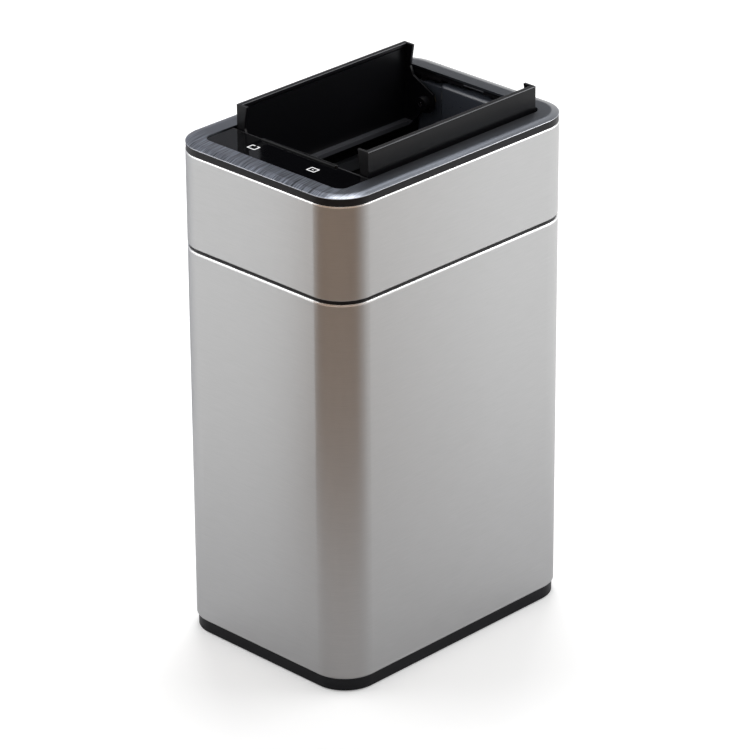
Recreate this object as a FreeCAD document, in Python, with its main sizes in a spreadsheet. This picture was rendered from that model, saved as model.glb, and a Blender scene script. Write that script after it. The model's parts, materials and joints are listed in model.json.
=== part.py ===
import FreeCAD, Part

import math
import os

import Sketcher

# Sensor waste bin with two butterfly flaps, drawn with its flaps standing open.
# Millimetres. The origin is on the floor under the middle of the bin, +Z is up,
# and the narrow front with the sensor panel faces -Y.
# "Offset" always means the distance inwards from the bin's outer rounded outline.

SIZES = {
    # outer outline, shared by the steel body and the steel lid collar
    "body_width": 260,
    "body_depth": 362,
    "corner_radius": 42,
    "steel_thickness": 0.8,
    "hem_width": 3,
    # heights, stacked from the floor up
    "foot_height": 1.5,
    "base_height": 15.5,
    "body_height": 449,
    "seam_gap": 4.2,
    "collar_height": 108,
    "bezel_height": 8.4,
    "trim_height": 2.6,
    # base tray, feet and their screws
    "base_inset": 2,
    "base_wall": 2.5,
    "base_floor": 3,
    "base_flange_width": 12,
    "base_boss_radius": 4.5,
    "base_boss_inset": 6.8,
    "base_boss_pitch_x": 150,
    "base_boss_pitch_y": 230,
    "base_screw_proud": 1.6,
    "foot_radius": 12,
    "foot_recess": 1.5,
    "foot_inset": 34,
    # running and seating clearances
    "seat_gap": 0.3,
    "fit_gap": 0.2,
    "shaft_play": 0.05,
    # black rim that tops the steel body
    "rim_inset": 2,
    "rim_ledge_width": 7.1,
    "rim_skirt_wall": 2,
    "rim_skirt_depth": 16,
    # inner bucket and bag ring
    "skirt_wall": 2,
    "bucket_side_gap": 0.6,
    "bucket_wall": 1.8,
    "bucket_flange_height": 2.2,
    "bucket_neck": 14,
    "bucket_taper": 8,
    "bucket_floor": 2.5,
    "bucket_floor_gap": 6,
    "ring_height": 15.3,
    "ring_wall": 1.8,
    "ring_top_width": 7.9,
    "ring_top_thickness": 2,
    # lid frame
    "deck_thickness": 3,
    "frame_foot_height": 2.2,
    "frame_foot_width": 2.5,
    "chute_half_width": 114,
    "chute_wall": 2,
    "chute_bottom": 500,
    "deck_corner_radius": 10,
    "tower_window_margin": 2,
    "tower_window_depth": 10,
    # bezel, trim plate and the opening that they frame
    "bezel_inset": 0.4,
    "bezel_skirt_wall": 2.2,
    "bezel_lip": 1.5,
    "opening_half_width": 104.5,
    "opening_half_length": 156,
    "opening_radius": 12,
    "trim_chamfer": 1.6,
    # sensor panel and what lies under it
    "panel_depth": 43.2,
    "panel_thickness": 2,
    "panel_sink": 1.2,
    "carrier_wall": 6,
    "carrier_ridge": 2.4,
    "carrier_ridge_radius": 0.8,
    "board_thickness": 1.6,
    "board_standoff": 1.2,
    "board_half_width": 92,
    "board_half_depth": 15,
    "board_screw_inset": 5,
    "icon_left_x": 47.8,
    "icon_right_x": 41.9,
    "pad_radius": 5.5,
    "sensor_radius": 2.5,
    "sensor_spacing": 16,
    # flaps: the pivot lies pivot_depth below a closed flap's top face
    "flap_front_y": -109.2,
    "flap_length": 260,
    "flap_span": 97.2,
    "flap_meet_gap": 0.6,
    "flap_sink": 1.6,
    "flap_plate": 3,
    "flap_edge_thickness": 5.2,
    "flap_edge_drop": 4,
    "flap_lip_depth": 10,
    "flap_lip_thickness": 5.7,
    "ear_thickness": 3,
    "ear_tip_width": 15.3,
    "ear_waist_width": 11,
    "ear_waist_drop": 26,
    "ear_neck_width": 15.6,
    "ear_neck_drop": 36,
    "pivot_x": 64,
    "pivot_depth": 34.8,
    "pivot_eye_radius": 12,
    "hub_radius": 8,
    "hub_length": 8,
    "shaft_radius": 3,
    # bushes that carry the flap shafts
    "bush_radius": 4.5,
    "bush_flange_radius": 6.5,
    "bush_flange": 1.2,
    "flap_end_play": 0.4,
    # front housing for the battery box
    "housing_half_width": 112,
    "housing_front_y": 172,
    "housing_radius": 26,
    "housing_wall": 2,
    "housing_bottom": 497,
    # battery box, cells and sliding door
    "battery_radius": 7.1,
    "battery_length": 50,
    "battery_gap": 0.4,
    "battery_wall": 2,
    "battery_box_y": -150,
    "contact_thickness": 0.8,
    "contact_lift": 1,
    "door_thickness": 2,
    "door_border": 4,
    "door_pull_half_width": 18,
    "door_pull_width": 2,
    "door_pull_depth": 1.5,
    "door_pull_inset": 6,
    "rail_width": 2.5,
    "rail_height": 4.6,
    # rear drive housing
    "case_wall": 2,
    "case_depth": 20.4,
    "wing_half_width": 84,
    "tower_half_width": 48,
    "case_roof_rise": 19.5,
    "tower_top_drop": 1.2,
    "tower_edge_radius": 4,
    "tower_corner_radius": 7,
    "wing_setback": 5,
    "bulge_depth": 10.6,
    "bulge_height": 42,
    "bulge_edge_radius": 7,
    # catch bar in the middle of the opening's rear edge
    "catch_half_width": 15,
    "catch_thickness": 1.8,
    "catch_depth": 3,
    "catch_roof": 1.6,
    # rear plate's screws, measured from its lower and upper edges
    "plate_screw_end": 6,
    # gear train between the two flap shafts
    "gear_module": 1.5,
    "flap_teeth": 20,
    "idler_teeth": 34,
    "pinion_teeth": 12,
    "gear_width": 5,
    "gear_side_gap": 4,
    "tooth_play": 0.3,
    "idler_pin_radius": 2,
    "idler_boss_radius": 4,
    "motor_radius": 11,
    "motor_length": 15.5,
    "motor_shaft_radius": 1.5,
    "bracket_thickness": 1.4,
    "motor_screw_pitch": 28,
    "bracket_inset": 2,
    "shaft_proud": 1,
    # screws, all of one size
    "screw_radius": 1.5,
    "screw_head_radius": 3,
    "screw_head_height": 1.8,
    "screw_length": 10,
    "lid_screw_length": 14,
    "lid_screw_x": 78,
    "lid_screw_inset": 10,
    "boss_wall": 1,
    "boss_spare": 2,
    "boss_bite": 0.5,
    # power switch in the back of the collar
    "switch_x": -62,
    "switch_drop": 78.7,
    "switch_half_width": 11,
    "switch_half_height": 7.5,
    "switch_depth": 14,
    "switch_wall": 1.6,
    "switch_recess": 0.1,
    "rocker_play": 0.5,
    "rocker_swing_gap": 0.7,
    "rocker_recess": 1,
    "rocker_thickness": 5,
    "rocker_tilt": 12,
    "rocker_pin_radius": 1.2,
    "rocker_pin_end": 0.4,
}

SHEET_NAME = "Sheet"

document = FreeCAD.newDocument("SensorBin")
sheet = document.addObject("Spreadsheet::Sheet", SHEET_NAME)


class Size:
    """A length or an angle that knows its number and its spreadsheet expression."""

    def __init__(self, text, number):
        self.text = text
        self.number = float(number)

    def __float__(self):
        return self.number

    def __add__(self, other):
        other = as_size(other)
        return Size(f"({self.text} + {other.text})", self.number + other.number)

    def __sub__(self, other):
        other = as_size(other)
        return Size(f"({self.text} - {other.text})", self.number - other.number)

    def __mul__(self, other):
        other = as_size(other)
        return Size(f"({self.text} * {other.text})", self.number * other.number)

    def __truediv__(self, other):
        other = as_size(other)
        return Size(f"({self.text} / {other.text})", self.number / other.number)

    def __neg__(self):
        return Size(f"(-1 * {self.text})", -self.number)

    __radd__ = __add__
    __rmul__ = __mul__


def as_size(value):
    """Turn a plain number into a Size; leave a Size as it is."""
    if isinstance(value, Size):
        return value
    return Size(repr(float(value)), value)


def root(value):
    """Square root of a Size."""
    return Size(f"sqrt({value.text})", math.sqrt(value.number))


def cosine(angle):
    """Cosine of an angle in degrees."""
    return Size(f"cos({angle.text})", math.cos(math.radians(angle.number)))


def sine(angle):
    """Sine of an angle in degrees."""
    return Size(f"sin({angle.text})", math.sin(math.radians(angle.number)))


def fill_sheet():
    """Write every driving size into the sheet, one row each, with its alias."""
    for row, (alias, value) in enumerate(SIZES.items(), start=1):
        sheet.set(f"A{row}", alias)
        sheet.set(f"B{row}", str(value))
        sheet.setAlias(f"B{row}", alias)
    document.recompute()


def size(alias):
    """The Size of one cell of the sheet."""
    return Size(f"{SHEET_NAME}.{alias}", sheet.get(alias))


fill_sheet()

# ---------------------------------------------------------------- shared levels and places

HALF_WIDTH = size("body_width") / 2
HALF_DEPTH = size("body_depth") / 2
SHEET_METAL = size("steel_thickness")
SEAT = size("seat_gap")
FIT = size("fit_gap")

BASE_TOP = size("foot_height") + size("base_height")
BODY_TOP = BASE_TOP + size("body_height")
COLLAR_BOTTOM = BODY_TOP + size("seam_gap")
COLLAR_TOP = COLLAR_BOTTOM + size("collar_height")
DECK_TOP = COLLAR_TOP + size("deck_thickness")
BEZEL_TOP = COLLAR_TOP + size("bezel_height")
TRIM_TOP = BEZEL_TOP + size("trim_height")

HEM_OFFSET = SHEET_METAL + size("hem_width")
HEM_ROUND = SHEET_METAL * 0.9  # a folded edge is round almost through the whole sheet
SKIRT_OUTER = HEM_OFFSET + FIT
SKIRT_INNER = SKIRT_OUTER + size("skirt_wall")

FLAP_CLOSED_TOP = TRIM_TOP - size("flap_sink")
PIVOT_X = size("pivot_x")
PIVOT_Z = FLAP_CLOSED_TOP - size("pivot_depth")
FLAP_FACE_X = PIVOT_X + size("pivot_depth")
FLAP_EDGE_Z = PIVOT_Z + PIVOT_X - size("flap_meet_gap")
FLAP_FOOT_Z = FLAP_EDGE_Z - size("flap_span")
FLAP_FRONT_Y = size("flap_front_y")
FLAP_REAR_Y = FLAP_FRONT_Y + size("flap_length")

BUSH_REACH = size("flap_end_play") + size("bush_flange")
HOUSING_REAR_Y = FLAP_FRONT_Y - BUSH_REACH
CASE_FRONT_Y = FLAP_REAR_Y + BUSH_REACH
WING_FRONT_Y = CASE_FRONT_Y + size("wing_setback")
CASE_REAR_Y = CASE_FRONT_Y + size("case_depth") - size("case_wall")
PLATE_REAR_Y = CASE_REAR_Y + size("case_wall")

GEAR_MODULE = size("gear_module")
FLAP_GEAR_R = GEAR_MODULE * size("flap_teeth") / 2
IDLER_R = GEAR_MODULE * size("idler_teeth") / 2
PINION_R = GEAR_MODULE * size("pinion_teeth") / 2
IDLER_X = IDLER_R
IDLER_DROP = root((FLAP_GEAR_R + IDLER_R) * (FLAP_GEAR_R + IDLER_R)
                  - (PIVOT_X - IDLER_X) * (PIVOT_X - IDLER_X))
IDLER_Z = PIVOT_Z - IDLER_DROP
PINION_Z = IDLER_Z - IDLER_R - PINION_R
GEAR_REAR_Y = CASE_REAR_Y - size("gear_side_gap")
GEAR_FRONT_Y = GEAR_REAR_Y - size("gear_width")

CASE_ROOF_Z = PIVOT_Z + size("case_roof_rise")
TOWER_TOP_Z = COLLAR_TOP - size("tower_top_drop")
CASE_BOTTOM_Z = PINION_Z - size("motor_radius") - size("case_wall") - SEAT * 2
WING_BOTTOM_Z = IDLER_Z - IDLER_R - GEAR_MODULE - size("case_wall") - SEAT * 3

PANEL_TOP_Z = TRIM_TOP - size("panel_sink")
PANEL_BOTTOM_Z = PANEL_TOP_Z - size("panel_thickness")
PANEL_FRONT_Y = -size("opening_half_length") + FIT
PANEL_REAR_Y = PANEL_FRONT_Y + size("panel_depth")
PANEL_MID_Y = (PANEL_FRONT_Y + PANEL_REAR_Y) / 2

SCREW_R = size("screw_radius")
HEAD_R = size("screw_head_radius")
HEAD_H = size("screw_head_height")
BOSS_R = HEAD_R + size("boss_wall")
WALL_TO_BOSS = HEAD_R - size("boss_bite")  # a boss beside a wall runs a little into it

# ---------------------------------------------------------------- drawing helpers

PLANE_AXIS = {"XY_Plane": 1, "XZ_Plane": -1, "YZ_Plane": 1}
ZERO = as_size(0)
CLOSE = 1e-4  # two levels this near each other are one
PARALLEL = 1e-6
ALONG_X = FreeCAD.Vector(1, 0, 0)
UPRIGHT = FreeCAD.Vector(0, 0, 1)


def new_body(label):
    """An empty PartDesign body whose label is the sub-part's name."""
    body = document.addObject("PartDesign::Body", label)
    body.Label = label
    return body


def new_sketch(body, plane, level, centre=(ZERO, ZERO)):
    """A sketch on one of the body's own origin planes, at a level along that plane's axis."""
    sketch = body.newObject("Sketcher::SketchObject", f"{body.Label}_sketch")
    support = next(item for item in body.Origin.OriginFeatures if item.Role == plane)
    sketch.AttachmentSupport = [(support, "")]
    sketch.MapMode = "FlatFace"
    level = as_size(level) * PLANE_AXIS[plane]
    sketch.setExpression("AttachmentOffset.Base.x", as_size(centre[0]).text)
    sketch.setExpression("AttachmentOffset.Base.y", as_size(centre[1]).text)
    sketch.setExpression("AttachmentOffset.Base.z", level.text)
    return sketch


def bind_constraint(sketch, constraint, value):
    """Add a dimension to a sketch and tie it to the sheet."""
    index = sketch.addConstraint(constraint)
    name = f"size{index}"
    sketch.renameConstraint(index, name)
    sketch.setExpression(f"Constraints.{name}", as_size(value).text)


def draw_circle(sketch, radius, centre=(ZERO, ZERO)):
    """A circle of a given radius and centre."""
    x, y, r = float(centre[0]), float(centre[1]), float(radius)
    circle = Part.Circle(FreeCAD.Vector(x, y, 0), FreeCAD.Vector(0, 0, 1), r)
    index = sketch.addGeometry(circle)
    bind_constraint(sketch, Sketcher.Constraint("Radius", index, r), radius)
    bind_constraint(sketch, Sketcher.Constraint("DistanceX", index, 3, x), centre[0])
    bind_constraint(sketch, Sketcher.Constraint("DistanceY", index, 3, y), centre[1])


def draw_polygon(sketch, points):
    """A closed polygon whose corners are all dimensioned from the sketch origin."""
    places = [FreeCAD.Vector(float(x), float(y), 0) for x, y in points]
    count = len(points)
    first = len(sketch.Geometry)
    for number in range(count):
        sketch.addGeometry(Part.LineSegment(places[number], places[(number + 1) % count]))
    for number, (x, y) in enumerate(points):
        line = first + number
        following = first + (number + 1) % count
        sketch.addConstraint(Sketcher.Constraint("Coincident", line, 2, following, 1))
        bind_constraint(sketch, Sketcher.Constraint("DistanceX", line, 1, float(x)), x)
        bind_constraint(sketch, Sketcher.Constraint("DistanceY", line, 1, float(y)), y)


def draw_rectangle(sketch, x_low, x_high, y_low, y_high):
    """A rectangle between two opposite corners."""
    draw_polygon(sketch, [(x_low, y_low), (x_high, y_low), (x_high, y_high), (x_low, y_high)])


def draw_rounded_rectangle(sketch, half_x, half_y, radius):
    """A rectangle with equal round corners, centred on the sketch origin."""
    x, y, r = float(half_x), float(half_y), float(radius)
    first = len(sketch.Geometry)
    signs = ((1, 1), (-1, 1), (-1, -1), (1, -1))
    arcs = []
    for quarter, (sign_x, sign_y) in enumerate(signs):
        middle = FreeCAD.Vector(sign_x * (x - r), sign_y * (y - r), 0)
        circle = Part.Circle(middle, FreeCAD.Vector(0, 0, 1), r)
        start = quarter * math.pi / 2
        arcs.append(Part.ArcOfCircle(circle, start, start + math.pi / 2))
    for arc in arcs:
        sketch.addGeometry(arc)
    for quarter in range(4):
        sketch.addGeometry(Part.LineSegment(arcs[quarter].EndPoint, arcs[(quarter + 1) % 4].StartPoint))
    for quarter in range(4):
        arc = first + quarter
        line = first + 4 + quarter
        next_arc = first + (quarter + 1) % 4
        sketch.addConstraint(Sketcher.Constraint("Tangent", arc, 2, line, 1))
        sketch.addConstraint(Sketcher.Constraint("Tangent", line, 2, next_arc, 1))
        sketch.addConstraint(Sketcher.Constraint("Vertical" if quarter % 2 else "Horizontal", line))
        if quarter:
            sketch.addConstraint(Sketcher.Constraint("Equal", first, arc))
    bind_constraint(sketch, Sketcher.Constraint("Radius", first, r), radius)
    bind_constraint(sketch, Sketcher.Constraint("DistanceY", first + 4, 1, y), half_y)
    bind_constraint(sketch, Sketcher.Constraint("DistanceX", first + 5, 1, -x), -half_x)
    bind_constraint(sketch, Sketcher.Constraint("DistanceY", first + 6, 1, -y), -half_y)
    bind_constraint(sketch, Sketcher.Constraint("DistanceX", first + 7, 1, x), half_x)


def draw_outline(sketch, offset):
    """The bin's rounded outline, moved inwards by an offset."""
    offset = as_size(offset)
    draw_rounded_rectangle(sketch, HALF_WIDTH - offset, HALF_DEPTH - offset, size("corner_radius") - offset)


def extrude(body, kind, sketch, length):
    """Pad or pocket a sketch towards the positive side of its plane's axis."""
    feature = body.newObject(f"PartDesign::{kind}", f"{body.Label}_{kind.lower()}")
    feature.Profile = sketch
    feature.setExpression("Length", as_size(length).text)
    along_normal = PLANE_AXIS[sketch.AttachmentSupport[0][0].Role] > 0
    feature.Reversed = along_normal if kind == "Pocket" else not along_normal
    return feature


def pad(body, plane, level, length, draw, centre=(ZERO, ZERO)):
    """Add material: draw(sketch) fills the sketch, which is padded by a length."""
    sketch = new_sketch(body, plane, level, centre)
    draw(sketch)
    return extrude(body, "Pad", sketch, length)


def pocket(body, plane, level, length, draw, centre=(ZERO, ZERO)):
    """Take material away, and make sure that some really went."""
    document.recompute()
    before = body.Shape.Volume
    sketch = new_sketch(body, plane, level, centre)
    draw(sketch)
    feature = extrude(body, "Pocket", sketch, length)
    document.recompute()
    if body.Shape.Volume >= before:
        raise RuntimeError(f"a pocket of {body.Label} removes nothing")
    return feature


def outline_ring(body, outer, inner, bottom, top):
    """A wall that follows the bin's outline between two offsets and two heights."""
    def draw(sketch):
        draw_outline(sketch, outer)
        draw_outline(sketch, inner)
    return pad(body, "XY_Plane", bottom, top - bottom, draw)


def block(body, kind, x_range, y_range, z_range):
    """Add or cut a box given by its three ranges."""
    def draw(sketch):
        draw_rectangle(sketch, x_range[0], x_range[1], y_range[0], y_range[1])
    make = pad if kind == "Pad" else pocket
    return make(body, "XY_Plane", z_range[0], z_range[1] - z_range[0], draw)


def discs(body, kind, plane, level, length, radius, centres):
    """Add or cut round studs or holes at several centres of one plane."""
    def draw(sketch):
        for centre in centres:
            draw_circle(sketch, radius, centre)
    make = pad if kind == "Pad" else pocket
    return make(body, plane, level, length, draw)


def runs_along(edge, axis):
    """True for a straight edge parallel to an axis; any edge will do where the axis is None."""
    if axis is None:
        return True
    ends = [vertex.Point for vertex in edge.Vertexes]
    if len(ends) != 2:
        return False
    return (ends[1] - ends[0]).cross(axis).Length < PARALLEL


def edges_at(shape, test, axis=None):
    """Names of the edges along an axis whose every vertex passes a test."""
    return [f"Edge{number}" for number, edge in enumerate(shape.Edges, start=1)
            if runs_along(edge, axis) and all(test(vertex.Point) for vertex in edge.Vertexes)]


def soften(body, kind, amount, test, axis=None):
    """Fillet or chamfer the edges of a body whose vertices all pass a test."""
    document.recompute()
    tip = body.Tip
    feature = body.newObject(f"PartDesign::{kind}", f"{body.Label}_{kind.lower()}")
    feature.Base = (tip, edges_at(tip.Shape, test, axis))
    feature.setExpression("Radius" if kind == "Fillet" else "Size", as_size(amount).text)
    return feature


def near(value, target):
    """True where a coordinate lies on a named level."""
    return abs(value - float(target)) < CLOSE


def solid_group(label, shapes):
    """A node that holds several separate, identical solids."""
    feature = document.addObject("Part::Feature", label)
    feature.Label = label
    feature.Shape = Part.makeCompound(shapes)
    return feature


def cylinder_y(radius, y_low, y_high, x, z):
    """A round bar along +Y."""
    base = FreeCAD.Vector(float(x), float(y_low), float(z))
    return Part.makeCylinder(float(radius), float(y_high) - float(y_low), base, FreeCAD.Vector(0, 1, 0))


def cylinder_z(radius, z_low, z_high, x, y):
    """A round bar along +Z."""
    base = FreeCAD.Vector(float(x), float(y), float(z_low))
    return Part.makeCylinder(float(radius), float(z_high) - float(z_low), base)


def corner_points(x, y):
    """Four places mirrored about both mid-planes."""
    return [(x, y), (-x, y), (-x, -y), (x, -y)]


# ---------------------------------------------------------------- steel body and base

BOSS_OFFSET = size("base_boss_inset")
BOSS_PLACES = [(side * (HALF_WIDTH - BOSS_OFFSET), end * size("base_boss_pitch_y") / 2)
               for side in (1, -1) for end in (1, -1)]
BOSS_PLACES += [(side * size("base_boss_pitch_x") / 2, end * (HALF_DEPTH - BOSS_OFFSET))
                for side in (1, -1) for end in (1, -1)]
FOOT_PLACES = corner_points(HALF_WIDTH - size("foot_inset"), HALF_DEPTH - size("foot_inset"))


def make_outer_body():
    """Steel wrap, open at both ends, with a hem on top and a screw flange at the bottom."""
    body = new_body("outer_body")
    outline_ring(body, ZERO, SHEET_METAL, BASE_TOP, BODY_TOP)
    outline_ring(body, SHEET_METAL / 2, HEM_OFFSET, BODY_TOP - SHEET_METAL, BODY_TOP)
    outline_ring(body, SHEET_METAL / 2, size("base_flange_width"), BASE_TOP, BASE_TOP + SHEET_METAL)
    discs(body, "Pocket", "XY_Plane", BASE_TOP, SHEET_METAL, SCREW_R, BOSS_PLACES)
    soften(body, "Fillet", HEM_ROUND,
           lambda p: near(p.z, BODY_TOP) and outside_flat(p, ZERO))
    return body


def outside_flat(point, offset):
    """True where a point lies on the outline moved in by an offset."""
    half_x = float(HALF_WIDTH - offset)
    half_y = float(HALF_DEPTH - offset)
    radius = float(size("corner_radius") - offset)
    x = max(abs(point.x) - (half_x - radius), 0)
    y = max(abs(point.y) - (half_y - radius), 0)
    return near(math.hypot(x, y), radius)


def make_base_tray():
    """Black moulded tray that closes the bottom and carries the feet."""
    body = new_body("base_tray")
    bottom = size("foot_height")
    pad(body, "XY_Plane", bottom, BASE_TOP - bottom, lambda s: draw_outline(s, size("base_inset")))
    inner = size("base_inset") + size("base_wall")
    floor_top = bottom + size("base_floor")
    pocket(body, "XY_Plane", floor_top, BASE_TOP - floor_top, lambda s: draw_outline(s, inner))
    discs(body, "Pad", "XY_Plane", floor_top - FIT, BASE_TOP - floor_top + FIT,
          size("base_boss_radius"), BOSS_PLACES)
    discs(body, "Pocket", "XY_Plane", bottom, BASE_TOP - bottom, SCREW_R, BOSS_PLACES)
    discs(body, "Pocket", "XY_Plane", bottom, HEAD_H + FIT, HEAD_R, BOSS_PLACES)
    discs(body, "Pocket", "XY_Plane", bottom, size("foot_recess"), size("foot_radius"), FOOT_PLACES)
    return body


def make_feet():
    """Four round rubber feet, let into the tray."""
    top = size("foot_height") + size("foot_recess")
    return solid_group("rubber_feet", [cylinder_z(size("foot_radius"), ZERO, top, x, y)
                                       for x, y in FOOT_PLACES])


def screw(x, y, seat, direction, length):
    """A screw whose head sits on a level and whose shank points up or down from it."""
    shank_end = seat + direction * length
    head_end = seat - direction * HEAD_H
    shank = cylinder_z(SCREW_R, min_size(seat, shank_end), max_size(seat, shank_end), x, y)
    head = cylinder_z(HEAD_R, min_size(seat, head_end), max_size(seat, head_end), x, y)
    return shank.fuse(head)


def min_size(first, second):
    """The smaller of two sizes."""
    return first if float(first) < float(second) else second


def max_size(first, second):
    """The larger of two sizes."""
    return second if float(first) < float(second) else first


def make_base_screws():
    """Screws that hold the tray under the steel body's flange."""
    seat = size("foot_height") + HEAD_H + FIT
    length = BASE_TOP + SHEET_METAL + size("base_screw_proud") - seat
    return solid_group("base_screws", [screw(x, y, seat, 1, length) for x, y in BOSS_PLACES])


def make_body_rim():
    """Black ring in the top of the steel body; it shows as the dark seam under the lid."""
    body = new_body("body_rim")
    ledge_inner = size("rim_inset") + size("rim_ledge_width")
    outline_ring(body, size("rim_inset"), ledge_inner, BODY_TOP, COLLAR_BOTTOM - SEAT)
    outline_ring(body, SKIRT_OUTER, SKIRT_OUTER + size("rim_skirt_wall"),
                 BODY_TOP - size("rim_skirt_depth"), BODY_TOP + FIT)
    return body


# ---------------------------------------------------------------- bucket and bag ring

FLANGE_OUTER = SKIRT_INNER + size("bucket_side_gap")
BUCKET_OUTER = size("rim_inset") + size("rim_ledge_width") + size("bucket_side_gap")
BUCKET_INNER = BUCKET_OUTER + size("bucket_wall")
BUCKET_BOTTOM = size("foot_height") + size("base_floor") + size("bucket_floor_gap")
FLANGE_TOP = COLLAR_BOTTOM + size("bucket_flange_height")
BUCKET_TOP = COLLAR_BOTTOM + size("bucket_neck")
RING_BOTTOM = FLANGE_TOP + SEAT
RING_TOP = RING_BOTTOM + size("ring_height")


def taper_loft(body, kind, lower, upper):
    """Loft between two offset outlines, each given as (offset, level)."""
    sketches = []
    for offset, level in (lower, upper):
        sketch = new_sketch(body, "XY_Plane", level)
        draw_outline(sketch, offset)
        sketches.append(sketch)
    loft = body.newObject(f"PartDesign::{kind}", f"{body.Label}_loft")
    loft.Profile = sketches[0]
    loft.Sections = [sketches[1]]
    loft.Ruled = True
    document.recompute()
    return loft


def make_inner_bucket():
    """Tapered lift-out bucket that hangs by its flange on the body rim."""
    body = new_body("inner_bucket")
    taper = size("bucket_taper")
    neck_bottom = COLLAR_BOTTOM
    taper_loft(body, "AdditiveLoft", (BUCKET_OUTER + taper, BUCKET_BOTTOM), (BUCKET_OUTER, neck_bottom))
    pad(body, "XY_Plane", neck_bottom, BUCKET_TOP - neck_bottom, lambda s: draw_outline(s, BUCKET_OUTER))
    outline_ring(body, FLANGE_OUTER, BUCKET_OUTER + FIT, COLLAR_BOTTOM, FLANGE_TOP)
    floor = BUCKET_BOTTOM + size("bucket_floor")
    taper_loft(body, "SubtractiveLoft", (BUCKET_INNER + taper, floor), (BUCKET_INNER, neck_bottom))
    pocket(body, "XY_Plane", neck_bottom, BUCKET_TOP - neck_bottom, lambda s: draw_outline(s, BUCKET_INNER))
    return body


def make_bag_ring():
    """Ring that clamps the bag over the bucket's upstanding edge."""
    body = new_body("bag_ring")
    outer = FLANGE_OUTER
    inner = outer + size("ring_top_width")
    wall = size("ring_wall")
    outline_ring(body, outer, outer + wall, RING_BOTTOM, RING_TOP)
    outline_ring(body, outer + wall / 2, inner, RING_TOP - size("ring_top_thickness"), RING_TOP)
    outline_ring(body, inner - wall, inner, RING_BOTTOM + wall, RING_TOP)
    return body


# ---------------------------------------------------------------- lid shell

CHUTE_X = size("chute_half_width")
DECK_SCREW_X = size("lid_screw_x")
HOUSING_SCREW_Y = -size("housing_front_y") + size("lid_screw_inset")
CASE_SCREW_Y = WING_FRONT_Y + size("case_wall") + WALL_TO_BOSS
LID_SCREW_LENGTH = size("lid_screw_length")
OPENING_REAR_Y = size("opening_half_length") + size("bezel_lip")
DECK_SCREWS = [(DECK_SCREW_X, HOUSING_SCREW_Y), (-DECK_SCREW_X, HOUSING_SCREW_Y),
               (DECK_SCREW_X, CASE_SCREW_Y), (-DECK_SCREW_X, CASE_SCREW_Y)]
CATCH_X = size("catch_half_width")
CATCH_REAR_Y = OPENING_REAR_Y + size("catch_depth")
CATCH_ROOF_Z = BEZEL_TOP - size("catch_roof")
SWITCH_X = size("switch_x")
SWITCH_Z = COLLAR_TOP - size("switch_drop")
SWITCH_HALF_X = size("switch_half_width")
SWITCH_HALF_Z = size("switch_half_height")


def cut_switch_window(body, depth, clearance):
    """Rectangular window for the power switch through a wall near the back."""
    def draw(sketch):
        draw_rectangle(sketch, SWITCH_X - SWITCH_HALF_X - clearance, SWITCH_X + SWITCH_HALF_X + clearance,
                       SWITCH_Z - SWITCH_HALF_Z - clearance, SWITCH_Z + SWITCH_HALF_Z + clearance)
    pocket(body, "XZ_Plane", HALF_DEPTH - depth, depth, draw)


def make_lid_collar():
    """Steel band of the lid, hemmed inwards along both edges."""
    body = new_body("lid_collar")
    outline_ring(body, ZERO, SHEET_METAL, COLLAR_BOTTOM, COLLAR_TOP)
    for low in (COLLAR_BOTTOM, COLLAR_TOP - SHEET_METAL):
        outline_ring(body, SHEET_METAL / 2, HEM_OFFSET, low, low + SHEET_METAL)
    cut_switch_window(body, SHEET_METAL * 2, FIT)
    soften(body, "Fillet", HEM_ROUND,
           lambda p: (near(p.z, COLLAR_TOP) or near(p.z, COLLAR_BOTTOM)) and outside_flat(p, ZERO))
    return body


def make_lid_frame():
    """Black moulded frame inside the collar: skirt, deck and the two chute walls."""
    body = new_body("lid_frame")
    foot_bottom = COLLAR_BOTTOM + SHEET_METAL + SEAT
    foot_top = foot_bottom + size("frame_foot_height")
    outline_ring(body, SKIRT_OUTER, SKIRT_INNER, foot_top - FIT, COLLAR_TOP + FIT)
    outline_ring(body, SKIRT_OUTER - size("frame_foot_width"), SKIRT_INNER, foot_bottom, foot_top)
    deck_outer = size("bezel_inset") + size("bezel_skirt_wall") + FIT
    pad(body, "XY_Plane", COLLAR_TOP, size("deck_thickness"), lambda s: draw_outline(s, deck_outer))
    deck_middle = (OPENING_REAR_Y + HOUSING_REAR_Y) / 2
    deck_half_length = (OPENING_REAR_Y - HOUSING_REAR_Y) / 2
    pocket(body, "XY_Plane", COLLAR_TOP, size("deck_thickness"),
           lambda s: draw_rounded_rectangle(s, CHUTE_X, deck_half_length, size("deck_corner_radius")),
           centre=(ZERO, deck_middle))
    window_x = size("tower_half_width") + size("tower_window_margin")
    block(body, "Pocket", (-window_x, window_x),
          (OPENING_REAR_Y - FIT, OPENING_REAR_Y + size("tower_window_depth")), (COLLAR_TOP, DECK_TOP))
    for side in (1, -1):
        inner, outer = side * CHUTE_X, side * (CHUTE_X + size("chute_wall"))
        block(body, "Pad", (min_size(inner, outer), max_size(inner, outer)),
              (HOUSING_REAR_Y, CASE_FRONT_Y), (size("chute_bottom"), COLLAR_TOP + FIT))
    cut_switch_window(body, SKIRT_INNER + FIT, FIT)
    post_bottom = CASE_ROOF_Z
    for x, y in DECK_SCREWS[2:]:
        discs(body, "Pad", "XY_Plane", post_bottom, COLLAR_TOP + FIT - post_bottom, BOSS_R, [(x, y)])
    for x, y in DECK_SCREWS:
        discs(body, "Pocket", "XY_Plane", post_bottom, DECK_TOP - post_bottom, SCREW_R, [(x, y)])
    return body


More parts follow.
